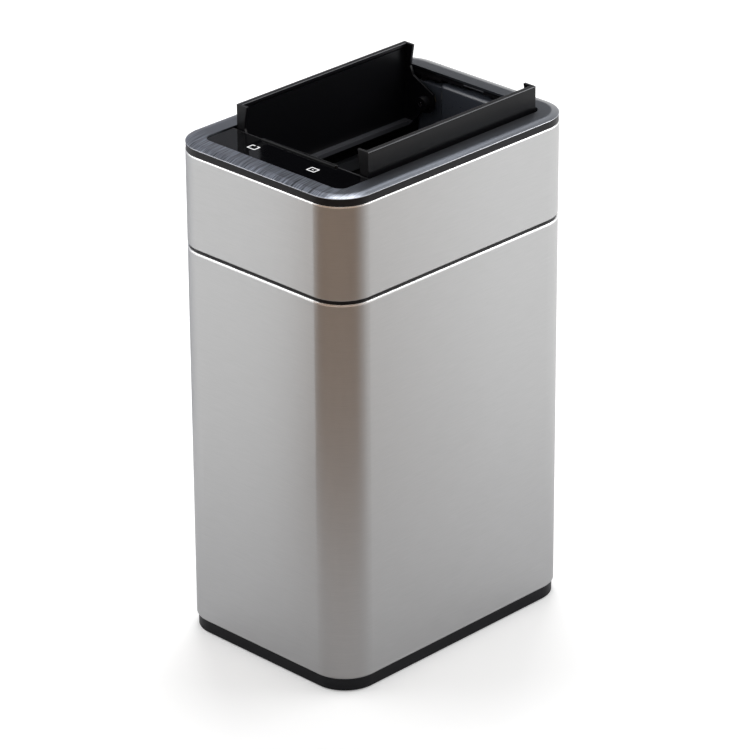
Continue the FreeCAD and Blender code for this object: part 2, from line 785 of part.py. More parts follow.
def make_top_bezel():
    """Black ring above the collar that carries the trim plate."""
    body = new_body("top_bezel")
    lip = size("bezel_lip")
    pad(body, "XY_Plane", DECK_TOP, BEZEL_TOP - DECK_TOP, lambda s: draw_outline(s, size("bezel_inset")))
    outline_ring(body, size("bezel_inset"), size("bezel_inset") + size("bezel_skirt_wall"),
                 COLLAR_TOP, DECK_TOP + FIT)
    pocket(body, "XY_Plane", DECK_TOP, BEZEL_TOP - DECK_TOP,
           lambda s: draw_rounded_rectangle(s, size("opening_half_width") + lip,
                                            size("opening_half_length") + lip,
                                            size("opening_radius") + lip))
    discs(body, "Pocket", "XY_Plane", DECK_TOP, HEAD_H + FIT, HEAD_R + FIT, DECK_SCREWS)
    block(body, "Pocket", (-CATCH_X, CATCH_X), (OPENING_REAR_Y - FIT, CATCH_REAR_Y), (DECK_TOP, CATCH_ROOF_Z))
    return body


def make_rear_catch():
    """Light catch bar in a notch in the middle of the bezel's rear edge."""
    body = new_body("rear_catch")
    block(body, "Pad", (-CATCH_X + FIT, CATCH_X - FIT), (OPENING_REAR_Y + FIT, CATCH_REAR_Y),
          (CATCH_ROOF_Z - size("catch_thickness"), CATCH_ROOF_Z))
    return body


def make_trim_plate():
    """Dark brushed plate around the opening, with a bright chamfered rim."""
    body = new_body("trim_plate")

    def draw(sketch):
        draw_outline(sketch, ZERO)
        draw_rounded_rectangle(sketch, size("opening_half_width"), size("opening_half_length"),
                               size("opening_radius"))
    pad(body, "XY_Plane", BEZEL_TOP, size("trim_height"), draw)
    soften(body, "Chamfer", size("trim_chamfer"), lambda p: near(p.z, TRIM_TOP) and outside_flat(p, ZERO))
    return body


def make_lid_screws():
    """Screws down through the deck into the housing and the drive case."""
    return solid_group("lid_screws", [screw(x, y, DECK_TOP, -1, LID_SCREW_LENGTH)
                                      for x, y in DECK_SCREWS])


# ---------------------------------------------------------------- sensor panel and electronics

CARRIER_HALF_X = size("opening_half_width") - FIT
BOARD_BOTTOM_Z = DECK_TOP + size("board_standoff")
BOARD_TOP_Z = BOARD_BOTTOM_Z + size("board_thickness")
ICON_PLACES = [(-size("icon_left_x"), PANEL_MID_Y), (size("icon_right_x"), PANEL_MID_Y)]
SENSOR_PLACES = [(size("sensor_spacing") / 2 * side, PANEL_MID_Y) for side in (1, -1)]
BOARD_SCREW_X = size("board_half_width") - size("board_screw_inset")
BOARD_SCREW_PLACES = [(side * BOARD_SCREW_X, PANEL_MID_Y) for side in (1, -1)]


def make_sensor_panel():
    """Glossy black panel that covers the sensor and the touch keys."""
    body = new_body("sensor_panel")
    block(body, "Pad", (-CARRIER_HALF_X, CARRIER_HALF_X), (PANEL_FRONT_Y, PANEL_REAR_Y),
          (PANEL_BOTTOM_Z, PANEL_TOP_Z))
    corner = size("opening_radius") - FIT
    soften(body, "Fillet", corner, lambda p: near(p.y, PANEL_FRONT_Y), UPRIGHT)
    return body


def make_panel_carrier():
    """Frame under the panel, with the rounded ridge that ends it towards the flaps."""
    body = new_body("panel_carrier")
    wall = size("carrier_wall")
    ridge_rear = PANEL_REAR_Y + size("carrier_ridge")
    corner = size("opening_radius") - FIT
    block(body, "Pad", (-CARRIER_HALF_X, CARRIER_HALF_X), (PANEL_FRONT_Y, ridge_rear),
          (DECK_TOP, PANEL_BOTTOM_Z))
    soften(body, "Fillet", corner, lambda p: near(p.y, PANEL_FRONT_Y), UPRIGHT)
    block(body, "Pocket", (-CARRIER_HALF_X + wall, CARRIER_HALF_X - wall),
          (PANEL_FRONT_Y + wall, PANEL_REAR_Y - wall), (DECK_TOP, PANEL_BOTTOM_Z))
    block(body, "Pad", (-CARRIER_HALF_X, CARRIER_HALF_X), (PANEL_REAR_Y, ridge_rear),
          (PANEL_BOTTOM_Z - FIT, PANEL_TOP_Z))
    soften(body, "Fillet", size("carrier_ridge_radius"), lambda p: near(p.z, PANEL_TOP_Z))
    return body


def make_control_board():
    """Circuit board that reads the sensor and the keys and drives the motor."""
    body = new_body("control_board")
    half_x, half_y = size("board_half_width"), size("board_half_depth")
    block(body, "Pad", (-half_x, half_x), (PANEL_MID_Y - half_y, PANEL_MID_Y + half_y),
          (BOARD_BOTTOM_Z, BOARD_TOP_Z))
    discs(body, "Pocket", "XY_Plane", BOARD_BOTTOM_Z, size("board_thickness"), SCREW_R, BOARD_SCREW_PLACES)
    return body


def make_board_standoffs():
    """Spacers that lift the board off the deck."""
    spacers = [cylinder_z(HEAD_R, DECK_TOP, BOARD_BOTTOM_Z, x, y).cut(
        cylinder_z(SCREW_R, DECK_TOP, BOARD_BOTTOM_Z, x, y)) for x, y in BOARD_SCREW_PLACES]
    return solid_group("board_standoffs", spacers)


def make_touch_pads():
    """Conductive foam pads between the board and the two key marks."""
    return solid_group("touch_pads", [cylinder_z(size("pad_radius"), BOARD_TOP_Z, PANEL_BOTTOM_Z, x, y)
                                      for x, y in ICON_PLACES])


def make_infrared_pair():
    """Infrared emitter and receiver under the panel."""
    radius = size("sensor_radius")
    return solid_group("infrared_sensors", [cylinder_z(radius, BOARD_TOP_Z, PANEL_BOTTOM_Z, x, y)
                                            for x, y in SENSOR_PLACES])


# ---------------------------------------------------------------- battery housing and cells

CELL_PITCH = size("battery_radius") * 2 + size("battery_gap")
BATTERY_HALF_X = size("battery_length") + size("contact_thickness") + size("battery_gap")
BATTERY_FRONT_Y = size("battery_box_y") - CELL_PITCH - size("battery_gap")
BATTERY_REAR_Y = size("battery_box_y") + CELL_PITCH + size("battery_gap")
BATTERY_FLOOR_Z = size("housing_bottom") + size("housing_wall")
BATTERY_ROOF_Z = BATTERY_FLOOR_Z + size("battery_radius") * 2 + size("battery_gap")
CELL_Z = BATTERY_ROOF_Z - size("battery_radius")
DOOR_HALF_X = BATTERY_HALF_X + size("door_border")
DOOR_TOP_Z = size("housing_bottom") - SEAT


def make_control_housing():
    """Tub under the front deck; its rear wall carries the front flap bushes."""
    body = new_body("battery_housing")
    half_x = size("housing_half_width")
    front, rear = -size("housing_front_y"), HOUSING_REAR_Y
    wall = size("housing_wall")
    low, high = size("housing_bottom"), COLLAR_TOP
    block(body, "Pad", (-half_x, half_x), (front, rear), (low, high))
    soften(body, "Fillet", size("housing_radius"), lambda p: near(p.y, front), UPRIGHT)
    block(body, "Pocket", (-half_x + wall, half_x - wall), (front + size("housing_radius"), rear - wall),
          (low + wall, high))
    inner_x = half_x - size("housing_radius")
    block(body, "Pocket", (-inner_x, inner_x), (front + wall, front + size("housing_radius") + FIT),
          (low + wall, high))
    discs(body, "Pocket", "XZ_Plane", rear - wall, wall, size("bush_radius"),
          [(PIVOT_X, PIVOT_Z), (-PIVOT_X, PIVOT_Z)])
    block(body, "Pocket", (-BATTERY_HALF_X, BATTERY_HALF_X), (BATTERY_FRONT_Y, BATTERY_REAR_Y),
          (low, low + wall))
    boss_height = LID_SCREW_LENGTH + size("boss_spare")
    for x, y in DECK_SCREWS[:2]:
        block(body, "Pad", (x - BOSS_R, x + BOSS_R), (front + wall - FIT, y + BOSS_R),
              (high - boss_height, high))
        discs(body, "Pocket", "XY_Plane", high - boss_height, boss_height, SCREW_R, [(x, y)])
    rail_x = DOOR_HALF_X + FIT
    for side in (1, -1):
        rail_inner, rail_outer = side * rail_x, side * (rail_x + size("rail_width"))
        foot_inner = side * (rail_x - size("rail_width"))
        y_range = (BATTERY_FRONT_Y - size("door_border"), rear)
        block(body, "Pad", (min_size(rail_inner, rail_outer), max_size(rail_inner, rail_outer)),
              y_range, (low - size("rail_height"), low + FIT))
        block(body, "Pad", (min_size(foot_inner, rail_outer), max_size(foot_inner, rail_outer)),
              y_range, (low - size("rail_height"), low - size("door_thickness") - SEAT * 2))
    return body


def make_battery_box():
    """Open-bottomed box on the housing floor that holds four cells."""
    body = new_body("battery_box")
    wall = size("battery_wall")
    block(body, "Pad", (-BATTERY_HALF_X - wall, BATTERY_HALF_X + wall),
          (BATTERY_FRONT_Y - wall, BATTERY_REAR_Y + wall), (BATTERY_FLOOR_Z, BATTERY_ROOF_Z + wall))
    block(body, "Pocket", (-BATTERY_HALF_X, BATTERY_HALF_X), (BATTERY_FRONT_Y, BATTERY_REAR_Y),
          (BATTERY_FLOOR_Z, BATTERY_ROOF_Z))
    return body


def make_battery_cells():
    """Four cells, two rows of two."""
    cells = []
    for end in (0, -1):
        for row in (1, -1):
            start = end * size("battery_length")
            base = FreeCAD.Vector(float(start), float(size("battery_box_y") + row * CELL_PITCH / 2),
                                  float(CELL_Z))
            cells.append(Part.makeCylinder(float(size("battery_radius")), float(size("battery_length")),
                                           base, FreeCAD.Vector(1, 0, 0)))
    return solid_group("battery_cells", cells)


def make_battery_contacts():
    """Spring plates at both ends of the battery box."""
    thickness = float(size("contact_thickness"))
    half_y = float(size("battery_radius"))
    lift = float(size("contact_lift"))
    plates = []
    for side in (1, -1):
        for row in (1, -1):
            x_low = float(BATTERY_HALF_X) - thickness if side > 0 else -float(BATTERY_HALF_X)
            y_mid = float(size("battery_box_y") + row * CELL_PITCH / 2)
            corner = FreeCAD.Vector(x_low, y_mid - half_y, float(CELL_Z) - half_y + lift)
            plates.append(Part.makeBox(thickness, half_y * 2, half_y * 2 - lift, corner))
    return solid_group("battery_contacts", plates)


def make_battery_door():
    """Door that slides between the rails under the battery box."""
    body = new_body("battery_door")
    border = size("door_border")
    low = DOOR_TOP_Z - size("door_thickness")
    block(body, "Pad", (-DOOR_HALF_X, DOOR_HALF_X), (BATTERY_FRONT_Y - border, BATTERY_REAR_Y + border),
          (low, DOOR_TOP_Z))
    pull_x = size("door_pull_half_width")
    pull_low = BATTERY_REAR_Y + border - size("door_pull_inset")
    block(body, "Pad", (-pull_x, pull_x), (pull_low, pull_low + size("door_pull_width")),
          (low - size("door_pull_depth"), low + FIT))
    return body


# ---------------------------------------------------------------- drive case at the back

IDLER_PLACES = [(-IDLER_X, IDLER_Z), (IDLER_X, IDLER_Z)]
PIVOT_PLACES = [(-PIVOT_X, PIVOT_Z), (PIVOT_X, PIVOT_Z)]
MOTOR_PLACE = (-IDLER_X, PINION_Z)
MOTOR_REAR_Y = GEAR_FRONT_Y - size("gear_side_gap") / 2
MOTOR_SCREW_PLACES = [(-IDLER_X + size("motor_screw_pitch") / 2 * side, PINION_Z) for side in (1, -1)]
BULGE_FRONT_Y = CASE_FRONT_Y - size("bulge_depth")
BULGE_TOP_Z = CASE_BOTTOM_Z + size("bulge_height")
WING_X = size("wing_half_width")
TOWER_X = size("tower_half_width")
PLATE_SCREW_SIDE = size("case_wall") + WALL_TO_BOSS
PLATE_SCREW_END = size("plate_screw_end")
PLATE_SCREW_PLACES = [(side * (WING_X - PLATE_SCREW_SIDE), WING_BOTTOM_Z + PLATE_SCREW_END)
                      for side in (1, -1)]
PLATE_SCREW_PLACES += [(side * (TOWER_X - PLATE_SCREW_SIDE), TOWER_TOP_Z - PLATE_SCREW_END)
                       for side in (1, -1)]


def tower_section(sketch, margin):
    """The middle of the drive case seen from the front, moved inwards by a margin."""
    draw_rectangle(sketch, -TOWER_X + margin, TOWER_X - margin, CASE_BOTTOM_Z + margin, TOWER_TOP_Z - margin)


def wing_section(sketch, margin):
    """Both wings of the drive case in one rectangle, moved inwards by a margin."""
    draw_rectangle(sketch, -WING_X + margin, WING_X - margin, WING_BOTTOM_Z + margin, CASE_ROOF_Z - margin)


def make_drive_case():
    """Black case for motor and gears: a rounded tower in the middle and a wing to each flap shaft."""
    body = new_body("drive_case")
    wall = size("case_wall")
    pad(body, "XZ_Plane", CASE_FRONT_Y, CASE_REAR_Y - CASE_FRONT_Y, lambda s: tower_section(s, ZERO))
    soften(body, "Fillet", size("tower_corner_radius"), lambda p: near(p.y, CASE_FRONT_Y), UPRIGHT)
    corner_end = float(CASE_FRONT_Y + size("tower_corner_radius"))
    soften(body, "Fillet", size("tower_edge_radius"),
           lambda p: near(p.z, TOWER_TOP_Z) and p.y < corner_end + CLOSE)
    pad(body, "XZ_Plane", WING_FRONT_Y, CASE_REAR_Y - WING_FRONT_Y, lambda s: wing_section(s, ZERO))
    block(body, "Pad", (-TOWER_X, TOWER_X), (BULGE_FRONT_Y, WING_FRONT_Y), (CASE_BOTTOM_Z, BULGE_TOP_Z))
    soften(body, "Fillet", size("bulge_edge_radius"), lambda p: near(p.y, BULGE_FRONT_Y), ALONG_X)
    pocket(body, "XZ_Plane", CASE_FRONT_Y + wall, CASE_REAR_Y - CASE_FRONT_Y - wall,
           lambda s: tower_section(s, wall + size("tower_edge_radius") / 2))
    pocket(body, "XZ_Plane", WING_FRONT_Y + wall, CASE_REAR_Y - WING_FRONT_Y - wall,
           lambda s: wing_section(s, wall))
    pocket(body, "XZ_Plane", WING_FRONT_Y, CASE_REAR_Y - WING_FRONT_Y, lambda s: tower_section(s, wall))
    block(body, "Pocket", (-TOWER_X + wall, TOWER_X - wall), (BULGE_FRONT_Y + wall, WING_FRONT_Y),
          (CASE_BOTTOM_Z + wall, BULGE_TOP_Z - size("bulge_edge_radius")))
    add_case_bosses(body)
    return body


def add_case_bosses(body):
    """Bosses for idler pins, motor bracket and plate screws, and the bush and screw holes."""
    wall = size("case_wall")
    inside = CASE_FRONT_Y + wall
    discs(body, "Pad", "XZ_Plane", inside - FIT, GEAR_FRONT_Y - SEAT - inside + FIT,
          size("idler_boss_radius"), IDLER_PLACES)
    discs(body, "Pad", "XZ_Plane", BULGE_FRONT_Y + wall - FIT, MOTOR_REAR_Y - BULGE_FRONT_Y - wall + FIT,
          HEAD_R, MOTOR_SCREW_PLACES)
    for low, places in ((WING_FRONT_Y, PLATE_SCREW_PLACES[:2]), (CASE_FRONT_Y, PLATE_SCREW_PLACES[2:])):
        discs(body, "Pad", "XZ_Plane", low + wall - FIT, CASE_REAR_Y - low - wall + FIT, HEAD_R, places)
    discs(body, "Pocket", "XZ_Plane", inside, GEAR_FRONT_Y - SEAT - inside,
          size("idler_pin_radius"), IDLER_PLACES)
    length = size("screw_length")
    discs(body, "Pocket", "XZ_Plane", CASE_REAR_Y - length, length, SCREW_R, PLATE_SCREW_PLACES)
    discs(body, "Pocket", "XZ_Plane", MOTOR_REAR_Y - length, length, SCREW_R, MOTOR_SCREW_PLACES)
    discs(body, "Pocket", "XZ_Plane", WING_FRONT_Y, wall, size("bush_radius"), PIVOT_PLACES)
    reach = LID_SCREW_LENGTH - (DECK_TOP - CASE_ROOF_Z)
    discs(body, "Pad", "XY_Plane", CASE_ROOF_Z - reach, reach - wall / 2, HEAD_R, DECK_SCREWS[2:])
    discs(body, "Pocket", "XY_Plane", CASE_ROOF_Z - reach, reach, SCREW_R, DECK_SCREWS[2:])


def make_drive_plate():
    """Rear plate that closes the drive case and holds the far bearings."""
    body = new_body("drive_plate")
    wall = size("case_wall")
    pad(body, "XZ_Plane", CASE_REAR_Y, wall, lambda s: tower_section(s, ZERO))
    pad(body, "XZ_Plane", CASE_REAR_Y, wall, lambda s: wing_section(s, ZERO))
    discs(body, "Pocket", "XZ_Plane", CASE_REAR_Y, wall, size("bush_radius"), PIVOT_PLACES)
    discs(body, "Pocket", "XZ_Plane", CASE_REAR_Y, wall, size("idler_pin_radius"), IDLER_PLACES)
    discs(body, "Pocket", "XZ_Plane", CASE_REAR_Y, wall, SCREW_R, PLATE_SCREW_PLACES)
    return body


def screw_along_y(x, z, seat, length):
    """A screw that points towards -Y, with its head against a rear face."""
    shank = cylinder_y(SCREW_R, seat - length, seat, x, z)
    head = cylinder_y(HEAD_R, seat, seat + HEAD_H, x, z)
    return shank.fuse(head)


def make_drive_screws():
    """Four screws that hold the rear plate to the drive case."""
    length = size("screw_length")
    return solid_group("drive_screws", [screw_along_y(x, z, PLATE_REAR_Y, length)
                                        for x, z in PLATE_SCREW_PLACES])


def make_motor_screws():
    """Two screws that hold the motor bracket to its bosses."""
    seat = MOTOR_REAR_Y + size("bracket_thickness")
    return solid_group("motor_screws", [screw_along_y(x, z, seat, size("screw_length"))
                                        for x, z in MOTOR_SCREW_PLACES])


def make_idler_pins():
    """Steel pins that the two idler gears turn on."""
    front = CASE_FRONT_Y + size("case_wall")
    return solid_group("idler_pins", [cylinder_y(size("idler_pin_radius"), front, PLATE_REAR_Y, x, z)
                                      for x, z in IDLER_PLACES])


def make_gear_motor():
    """Flat gear motor in the bulge of the drive case."""
    front = MOTOR_REAR_Y - size("motor_length")
    can = cylinder_y(size("motor_radius"), front, MOTOR_REAR_Y, *MOTOR_PLACE)
    nose = cylinder_y(size("idler_boss_radius"), MOTOR_REAR_Y, MOTOR_REAR_Y + size("bracket_thickness"),
                      *MOTOR_PLACE)
    motor = can.fuse(nose)
    for place in MOTOR_SCREW_PLACES:
        motor = motor.cut(cylinder_y(HEAD_R + FIT, front, MOTOR_REAR_Y, *place))
    return solid_group("gear_motor", motor.Solids)


def make_motor_bracket():
    """Sheet-metal bracket behind the motor."""
    body = new_body("motor_bracket")
    x, z = MOTOR_PLACE
    half_x = size("motor_screw_pitch") / 2 + HEAD_R
    half_z = size("motor_radius") - size("bracket_inset")

    def draw(sketch):
        draw_rectangle(sketch, x - half_x, x + half_x, z - half_z, z + half_z)
        draw_circle(sketch, size("idler_boss_radius"), MOTOR_PLACE)
        for place in MOTOR_SCREW_PLACES:
            draw_circle(sketch, SCREW_R, place)
    pad(body, "XZ_Plane", MOTOR_REAR_Y, size("bracket_thickness"), draw)
    return body


# ---------------------------------------------------------------- bushes, flaps and shafts


def bush(x, z, wall_low, wall_high, flange_side):
    """A flanged bush pressed into a wall; flange_side says which face its flange lies on."""
    radius, flange = size("bush_radius"), size("bush_flange")
    sleeve = cylinder_y(radius, wall_low, wall_high, x, z)
    if flange_side > 0:
        collar = cylinder_y(size("bush_flange_radius"), wall_high, wall_high + flange, x, z)
        low, high = wall_low, wall_high + flange
    else:
        collar = cylinder_y(size("bush_flange_radius"), wall_low - flange, wall_low, x, z)
        low, high = wall_low - flange, wall_high
    return sleeve.fuse(collar).cut(cylinder_y(size("shaft_radius") + size("shaft_play"), low, high, x, z))


def make_flap_bushes():
    """Six bushes: one in front of each flap and two in the drive case behind it."""
    bushes = []
    for x, z in PIVOT_PLACES:
        bushes.append(bush(x, z, HOUSING_REAR_Y - size("housing_wall"), HOUSING_REAR_Y, 1))
        bushes.append(bush(x, z, WING_FRONT_Y, WING_FRONT_Y + size("case_wall"), -1))
        bushes.append(bush(x, z, CASE_REAR_Y, PLATE_REAR_Y, -1))
    return solid_group("flap_bushes", bushes)


def flap_panel_outline(side):
    """Section of an open flap: a plate with a thick free edge and a lip along its foot."""
    face = FLAP_FACE_X
    plate, edge, lip = size("flap_plate"), size("flap_edge_thickness"), size("flap_lip_depth")
    shoulder = FLAP_EDGE_Z - size("flap_edge_drop")
    lip_top = FLAP_FOOT_Z + size("flap_lip_thickness")
    points = [(face, FLAP_FOOT_Z), (face, FLAP_EDGE_Z), (face - edge, FLAP_EDGE_Z),
              (face - edge, shoulder), (face - plate, shoulder - edge + plate), (face - plate, lip_top),
              (face - lip, lip_top), (face - lip, FLAP_FOOT_Z)]
    return [(side * x, z) for x, z in points]


def flap_ear_outline(side):
    """Outline of a flap's end plate, from the free edge down to the pivot eye."""
    face, top = FLAP_FACE_X, FLAP_EDGE_Z
    eye = size("pivot_eye_radius")
    half_eye = eye / 2
    points = [(face, FLAP_FOOT_Z), (face, top), (face - size("ear_tip_width"), top),
              (face - size("ear_waist_width"), top - size("ear_waist_drop")),
              (face - size("ear_neck_width"), top - size("ear_neck_drop")),
              (PIVOT_X - eye, PIVOT_Z + eye), (PIVOT_X - eye, PIVOT_Z - half_eye),
              (PIVOT_X - half_eye, PIVOT_Z - eye), (PIVOT_X + half_eye, PIVOT_Z - eye),
              (face - size("flap_lip_depth"), FLAP_FOOT_Z)]
    return [(side * x, z) for x, z in points]


def make_flap(label, side):
    """One flap, standing open: panel, two end plates and the hubs for its shafts."""
    body = new_body(label)
    pad(body, "XZ_Plane", FLAP_FRONT_Y, size("flap_length"),
        lambda s: draw_polygon(s, flap_panel_outline(side)))
    ear, hub = size("ear_thickness"), size("hub_length")
    pivot = (side * PIVOT_X, PIVOT_Z)
    for low in (FLAP_FRONT_Y, FLAP_REAR_Y - ear):
        pad(body, "XZ_Plane", low, ear, lambda s: draw_polygon(s, flap_ear_outline(side)))
    for low in (FLAP_FRONT_Y + ear - FIT, FLAP_REAR_Y - ear - hub):
        discs(body, "Pad", "XZ_Plane", low, hub + FIT, size("hub_radius"), [pivot])
    for low in (FLAP_FRONT_Y, FLAP_REAR_Y - ear - hub):
        discs(body, "Pocket", "XZ_Plane", low, ear + hub, size("shaft_radius"), [pivot])
    return body


def make_front_pin(label, side):
    """Short steel pin in the flap's front hub."""
    start = HOUSING_REAR_Y - size("housing_wall") - size("shaft_proud")
    end = FLAP_FRONT_Y + size("ear_thickness") + size("hub_length")
    return solid_group(label, [cylinder_y(size("shaft_radius"), start, end, side * PIVOT_X, PIVOT_Z)])


def make_drive_shaft(label, side):
    """Steel shaft in the flap's rear hub; it carries the flap gear."""
    start = FLAP_REAR_Y - size("ear_thickness") - size("hub_length")
    radius = size("shaft_radius")
    return solid_group(label, [cylinder_y(radius, start, PLATE_REAR_Y, side * PIVOT_X, PIVOT_Z)])


# ---------------------------------------------------------------- gears


PRESSURE_ANGLE = math.radians(20)
FLANK_STEPS = 4
ADDENDUM = 0.85
DEDENDUM = 1.15


def involute(angle):
    """The involute function, tan(a) - a."""
    return math.tan(angle) - angle


def tooth_flank(teeth, module, play):
    """(radius, half angle) pairs along one involute flank, from root to tip."""
    pitch_r = module * teeth / 2
    base_r = pitch_r * math.cos(PRESSURE_ANGLE)
    root_r = pitch_r - DEDENDUM * module
    tip_r = pitch_r + ADDENDUM * module
    half_pitch_angle = (math.pi * module / 2 - play) / 2 / pitch_r
    start_r = max(base_r, root_r)
    flank = []
    for step in range(FLANK_STEPS + 1):
        radius = start_r + (tip_r - start_r) * step / FLANK_STEPS
        angle = math.acos(min(1, base_r / radius))
        flank.append((radius, half_pitch_angle + involute(PRESSURE_ANGLE) - involute(angle)))
    if root_r < start_r:
        flank.insert(0, (root_r, flank[0][1]))
    return flank


def gear_shape(teeth, module, play, width, bore, phase):
    """A spur gear along +Y about the origin; one tooth points at the phase angle in XZ."""
    flank = tooth_flank(teeth, module, play)
    points = []
    for tooth in range(teeth):
        middle = phase + tooth * 2 * math.pi / teeth
        for sign, part in ((-1, flank), (1, reversed(flank))):
            for radius, half_angle in part:
                angle = middle + sign * half_angle
                points.append(FreeCAD.Vector(radius * math.cos(angle), 0, radius * math.sin(angle)))
    face = Part.Face(Part.makePolygon(points + [points[0]]))
    blank = face.extrude(FreeCAD.Vector(0, width, 0))
    return blank.cut(Part.makeCylinder(bore, width, FreeCAD.Vector(0, 0, 0), FreeCAD.Vector(0, 1, 0)))


def tooth_count(alias):
    """A gear's whole number of teeth, read from the sheet."""
    return round(float(size(alias)))


def meshing_phase(phase, teeth, direction, other_teeth):
    """Phase of a gear that meshes with another one lying in a direction from it."""
    pitch = 2 * math.pi / teeth
    other_pitch = 2 * math.pi / other_teeth
    share = (direction - phase) / pitch
    return direction + math.pi + (share - 0.5) * other_pitch


def gear_phases():
    """Phases of the left flap gear, the left idler, the right idler, the right flap gear, the pinion."""
    flap_teeth, idler_teeth = tooth_count("flap_teeth"), tooth_count("idler_teeth")
    pinion_teeth = tooth_count("pinion_teeth")
    drop, reach = float(IDLER_DROP), float(PIVOT_X - IDLER_X)
    left_flap = math.atan2(-drop, reach)
    left_idler = meshing_phase(left_flap, flap_teeth, math.atan2(-drop, reach), idler_teeth)
    right_idler = meshing_phase(left_idler, idler_teeth, 0, idler_teeth)
    right_flap = meshing_phase(right_idler, idler_teeth, math.atan2(drop, reach), flap_teeth)
    pinion = meshing_phase(left_idler, idler_teeth, -math.pi / 2, pinion_teeth)
    return left_flap, left_idler, right_idler, right_flap, pinion


def make_gear(label, teeth, phase, bore, x, z):
    """A gear of the train, placed at its own centre."""
    shape = gear_shape(tooth_count(teeth), float(GEAR_MODULE), float(size("tooth_play")),
                       float(size("gear_width")), float(bore), phase)
    gear = solid_group(label, shape.Solids)
    gear.Placement = FreeCAD.Placement(FreeCAD.Vector(float(x), float(GEAR_FRONT_Y), float(z)),
                                       FreeCAD.Rotation())
    return gear


def make_gears():
    """Flap gears on the shafts, idlers on their pins, and the motor pinion."""
    left_flap, left_idler, right_idler, right_flap, pinion = gear_phases()
    idler_bore = size("idler_pin_radius") + size("shaft_play")
    pinion_bore = size("motor_shaft_radius")
    return [
        make_gear("left_flap_gear", "flap_teeth", left_flap, size("shaft_radius"), -PIVOT_X, PIVOT_Z),
        make_gear("left_idler_gear", "idler_teeth", left_idler, idler_bore, -IDLER_X, IDLER_Z),
        make_gear("right_idler_gear", "idler_teeth", right_idler, idler_bore, IDLER_X, IDLER_Z),
        make_gear("right_flap_gear", "flap_teeth", right_flap, size("shaft_radius"), PIVOT_X, PIVOT_Z),
        make_gear("motor_pinion", "pinion_teeth", pinion, pinion_bore, -IDLER_X, PINION_Z),
    ]


def make_pinion_shaft():
    """Motor output shaft; it turns with the pinion in the motor's nose."""
    start = MOTOR_REAR_Y + size("bracket_thickness") + SEAT
    end = GEAR_REAR_Y + size("shaft_proud")
    return solid_group("pinion_shaft", [cylinder_y(size("motor_shaft_radius"), start, end, *MOTOR_PLACE)])


# ---------------------------------------------------------------- power switch

SWITCH_FACE_Y = HALF_DEPTH - size("switch_recess")
ROCKER_AXIS_Y = SWITCH_FACE_Y - size("rocker_thickness") / 2 - size("rocker_recess")
ROCKER_PIN_R = size("rocker_pin_radius")


def make_switch_housing():
    """Socket of the power switch, flush with the steel at the back of the lid."""
    body = new_body("switch_housing")
    wall = size("switch_wall")
    depth = size("switch_depth")

    def outer(sketch):
        draw_rectangle(sketch, SWITCH_X - SWITCH_HALF_X, SWITCH_X + SWITCH_HALF_X,
                       SWITCH_Z - SWITCH_HALF_Z, SWITCH_Z + SWITCH_HALF_Z)

    def inner(sketch):
        draw_rectangle(sketch, SWITCH_X - SWITCH_HALF_X + wall, SWITCH_X + SWITCH_HALF_X - wall,
                       SWITCH_Z - SWITCH_HALF_Z + wall, SWITCH_Z + SWITCH_HALF_Z - wall)
    pad(body, "XZ_Plane", SWITCH_FACE_Y - depth, depth, outer)
    pocket(body, "XZ_Plane", SWITCH_FACE_Y - depth + wall, depth - wall, inner)
    discs(body, "Pocket", "YZ_Plane", SWITCH_X - SWITCH_HALF_X, SWITCH_HALF_X * 2, ROCKER_PIN_R + FIT,
          [(ROCKER_AXIS_Y, SWITCH_Z)])
    return body


ROCKER_HALF_X = SWITCH_HALF_X - size("switch_wall") - size("rocker_play")
ROCKER_HALF_Z = SWITCH_HALF_Z - size("switch_wall") - size("rocker_swing_gap")
ROCKER_PIN_HALF_X = SWITCH_HALF_X - size("rocker_pin_end")


def make_power_rocker():
    """Rocker of the power switch on its two pins, tilted to its lower, switched-on side."""
    body = new_body("power_rocker")
    tilt = size("rocker_tilt") / 2
    half_z, half_y = ROCKER_HALF_Z, size("rocker_thickness") / 2
    crown = half_z * sine(tilt)
    profile = [(-half_y, -half_z), (half_y, -half_z), (half_y - crown, ZERO), (half_y, half_z),
               (-half_y, half_z)]
    corners = [(ROCKER_AXIS_Y + y * cosine(tilt) + z * sine(tilt),
                SWITCH_Z + z * cosine(tilt) - y * sine(tilt)) for y, z in profile]
    pad(body, "YZ_Plane", SWITCH_X - ROCKER_HALF_X, ROCKER_HALF_X * 2, lambda s: draw_polygon(s, corners))
    discs(body, "Pad", "YZ_Plane", SWITCH_X - ROCKER_PIN_HALF_X, ROCKER_PIN_HALF_X * 2, ROCKER_PIN_R,
          [(ROCKER_AXIS_Y, SWITCH_Z)])
    return body


# ---------------------------------------------------------------- build, check and write


def make_everything():
    """All the sub-parts of the bin, in the order in which it is put together."""
    parts = [make_outer_body(), make_base_tray(), make_feet(), make_base_screws(), make_body_rim()]
    parts += [make_inner_bucket(), make_bag_ring()]
    parts += [make_lid_collar(), make_lid_frame(), make_top_bezel(), make_rear_catch(), make_trim_plate(),
              make_lid_screws()]
    parts += [make_sensor_panel(), make_panel_carrier(), make_control_board(), make_board_standoffs(),
              make_touch_pads(), make_infrared_pair()]
    parts += [make_control_housing(), make_battery_box(), make_battery_cells(), make_battery_contacts(),
              make_battery_door()]
    parts += [make_drive_case(), make_drive_plate(), make_drive_screws(),
              make_motor_bracket(), make_motor_screws(), make_gear_motor(), make_idler_pins()]
    parts += [make_flap_bushes()]
    for name, side in (("left", -1), ("right", 1)):
        parts += [make_flap(f"{name}_flap", side), make_front_pin(f"{name}_front_pin", side),
                  make_drive_shaft(f"{name}_drive_shaft", side)]
    parts += make_gears() + [make_pinion_shaft()]
    parts += [make_switch_housing(), make_power_rocker()]
    return parts


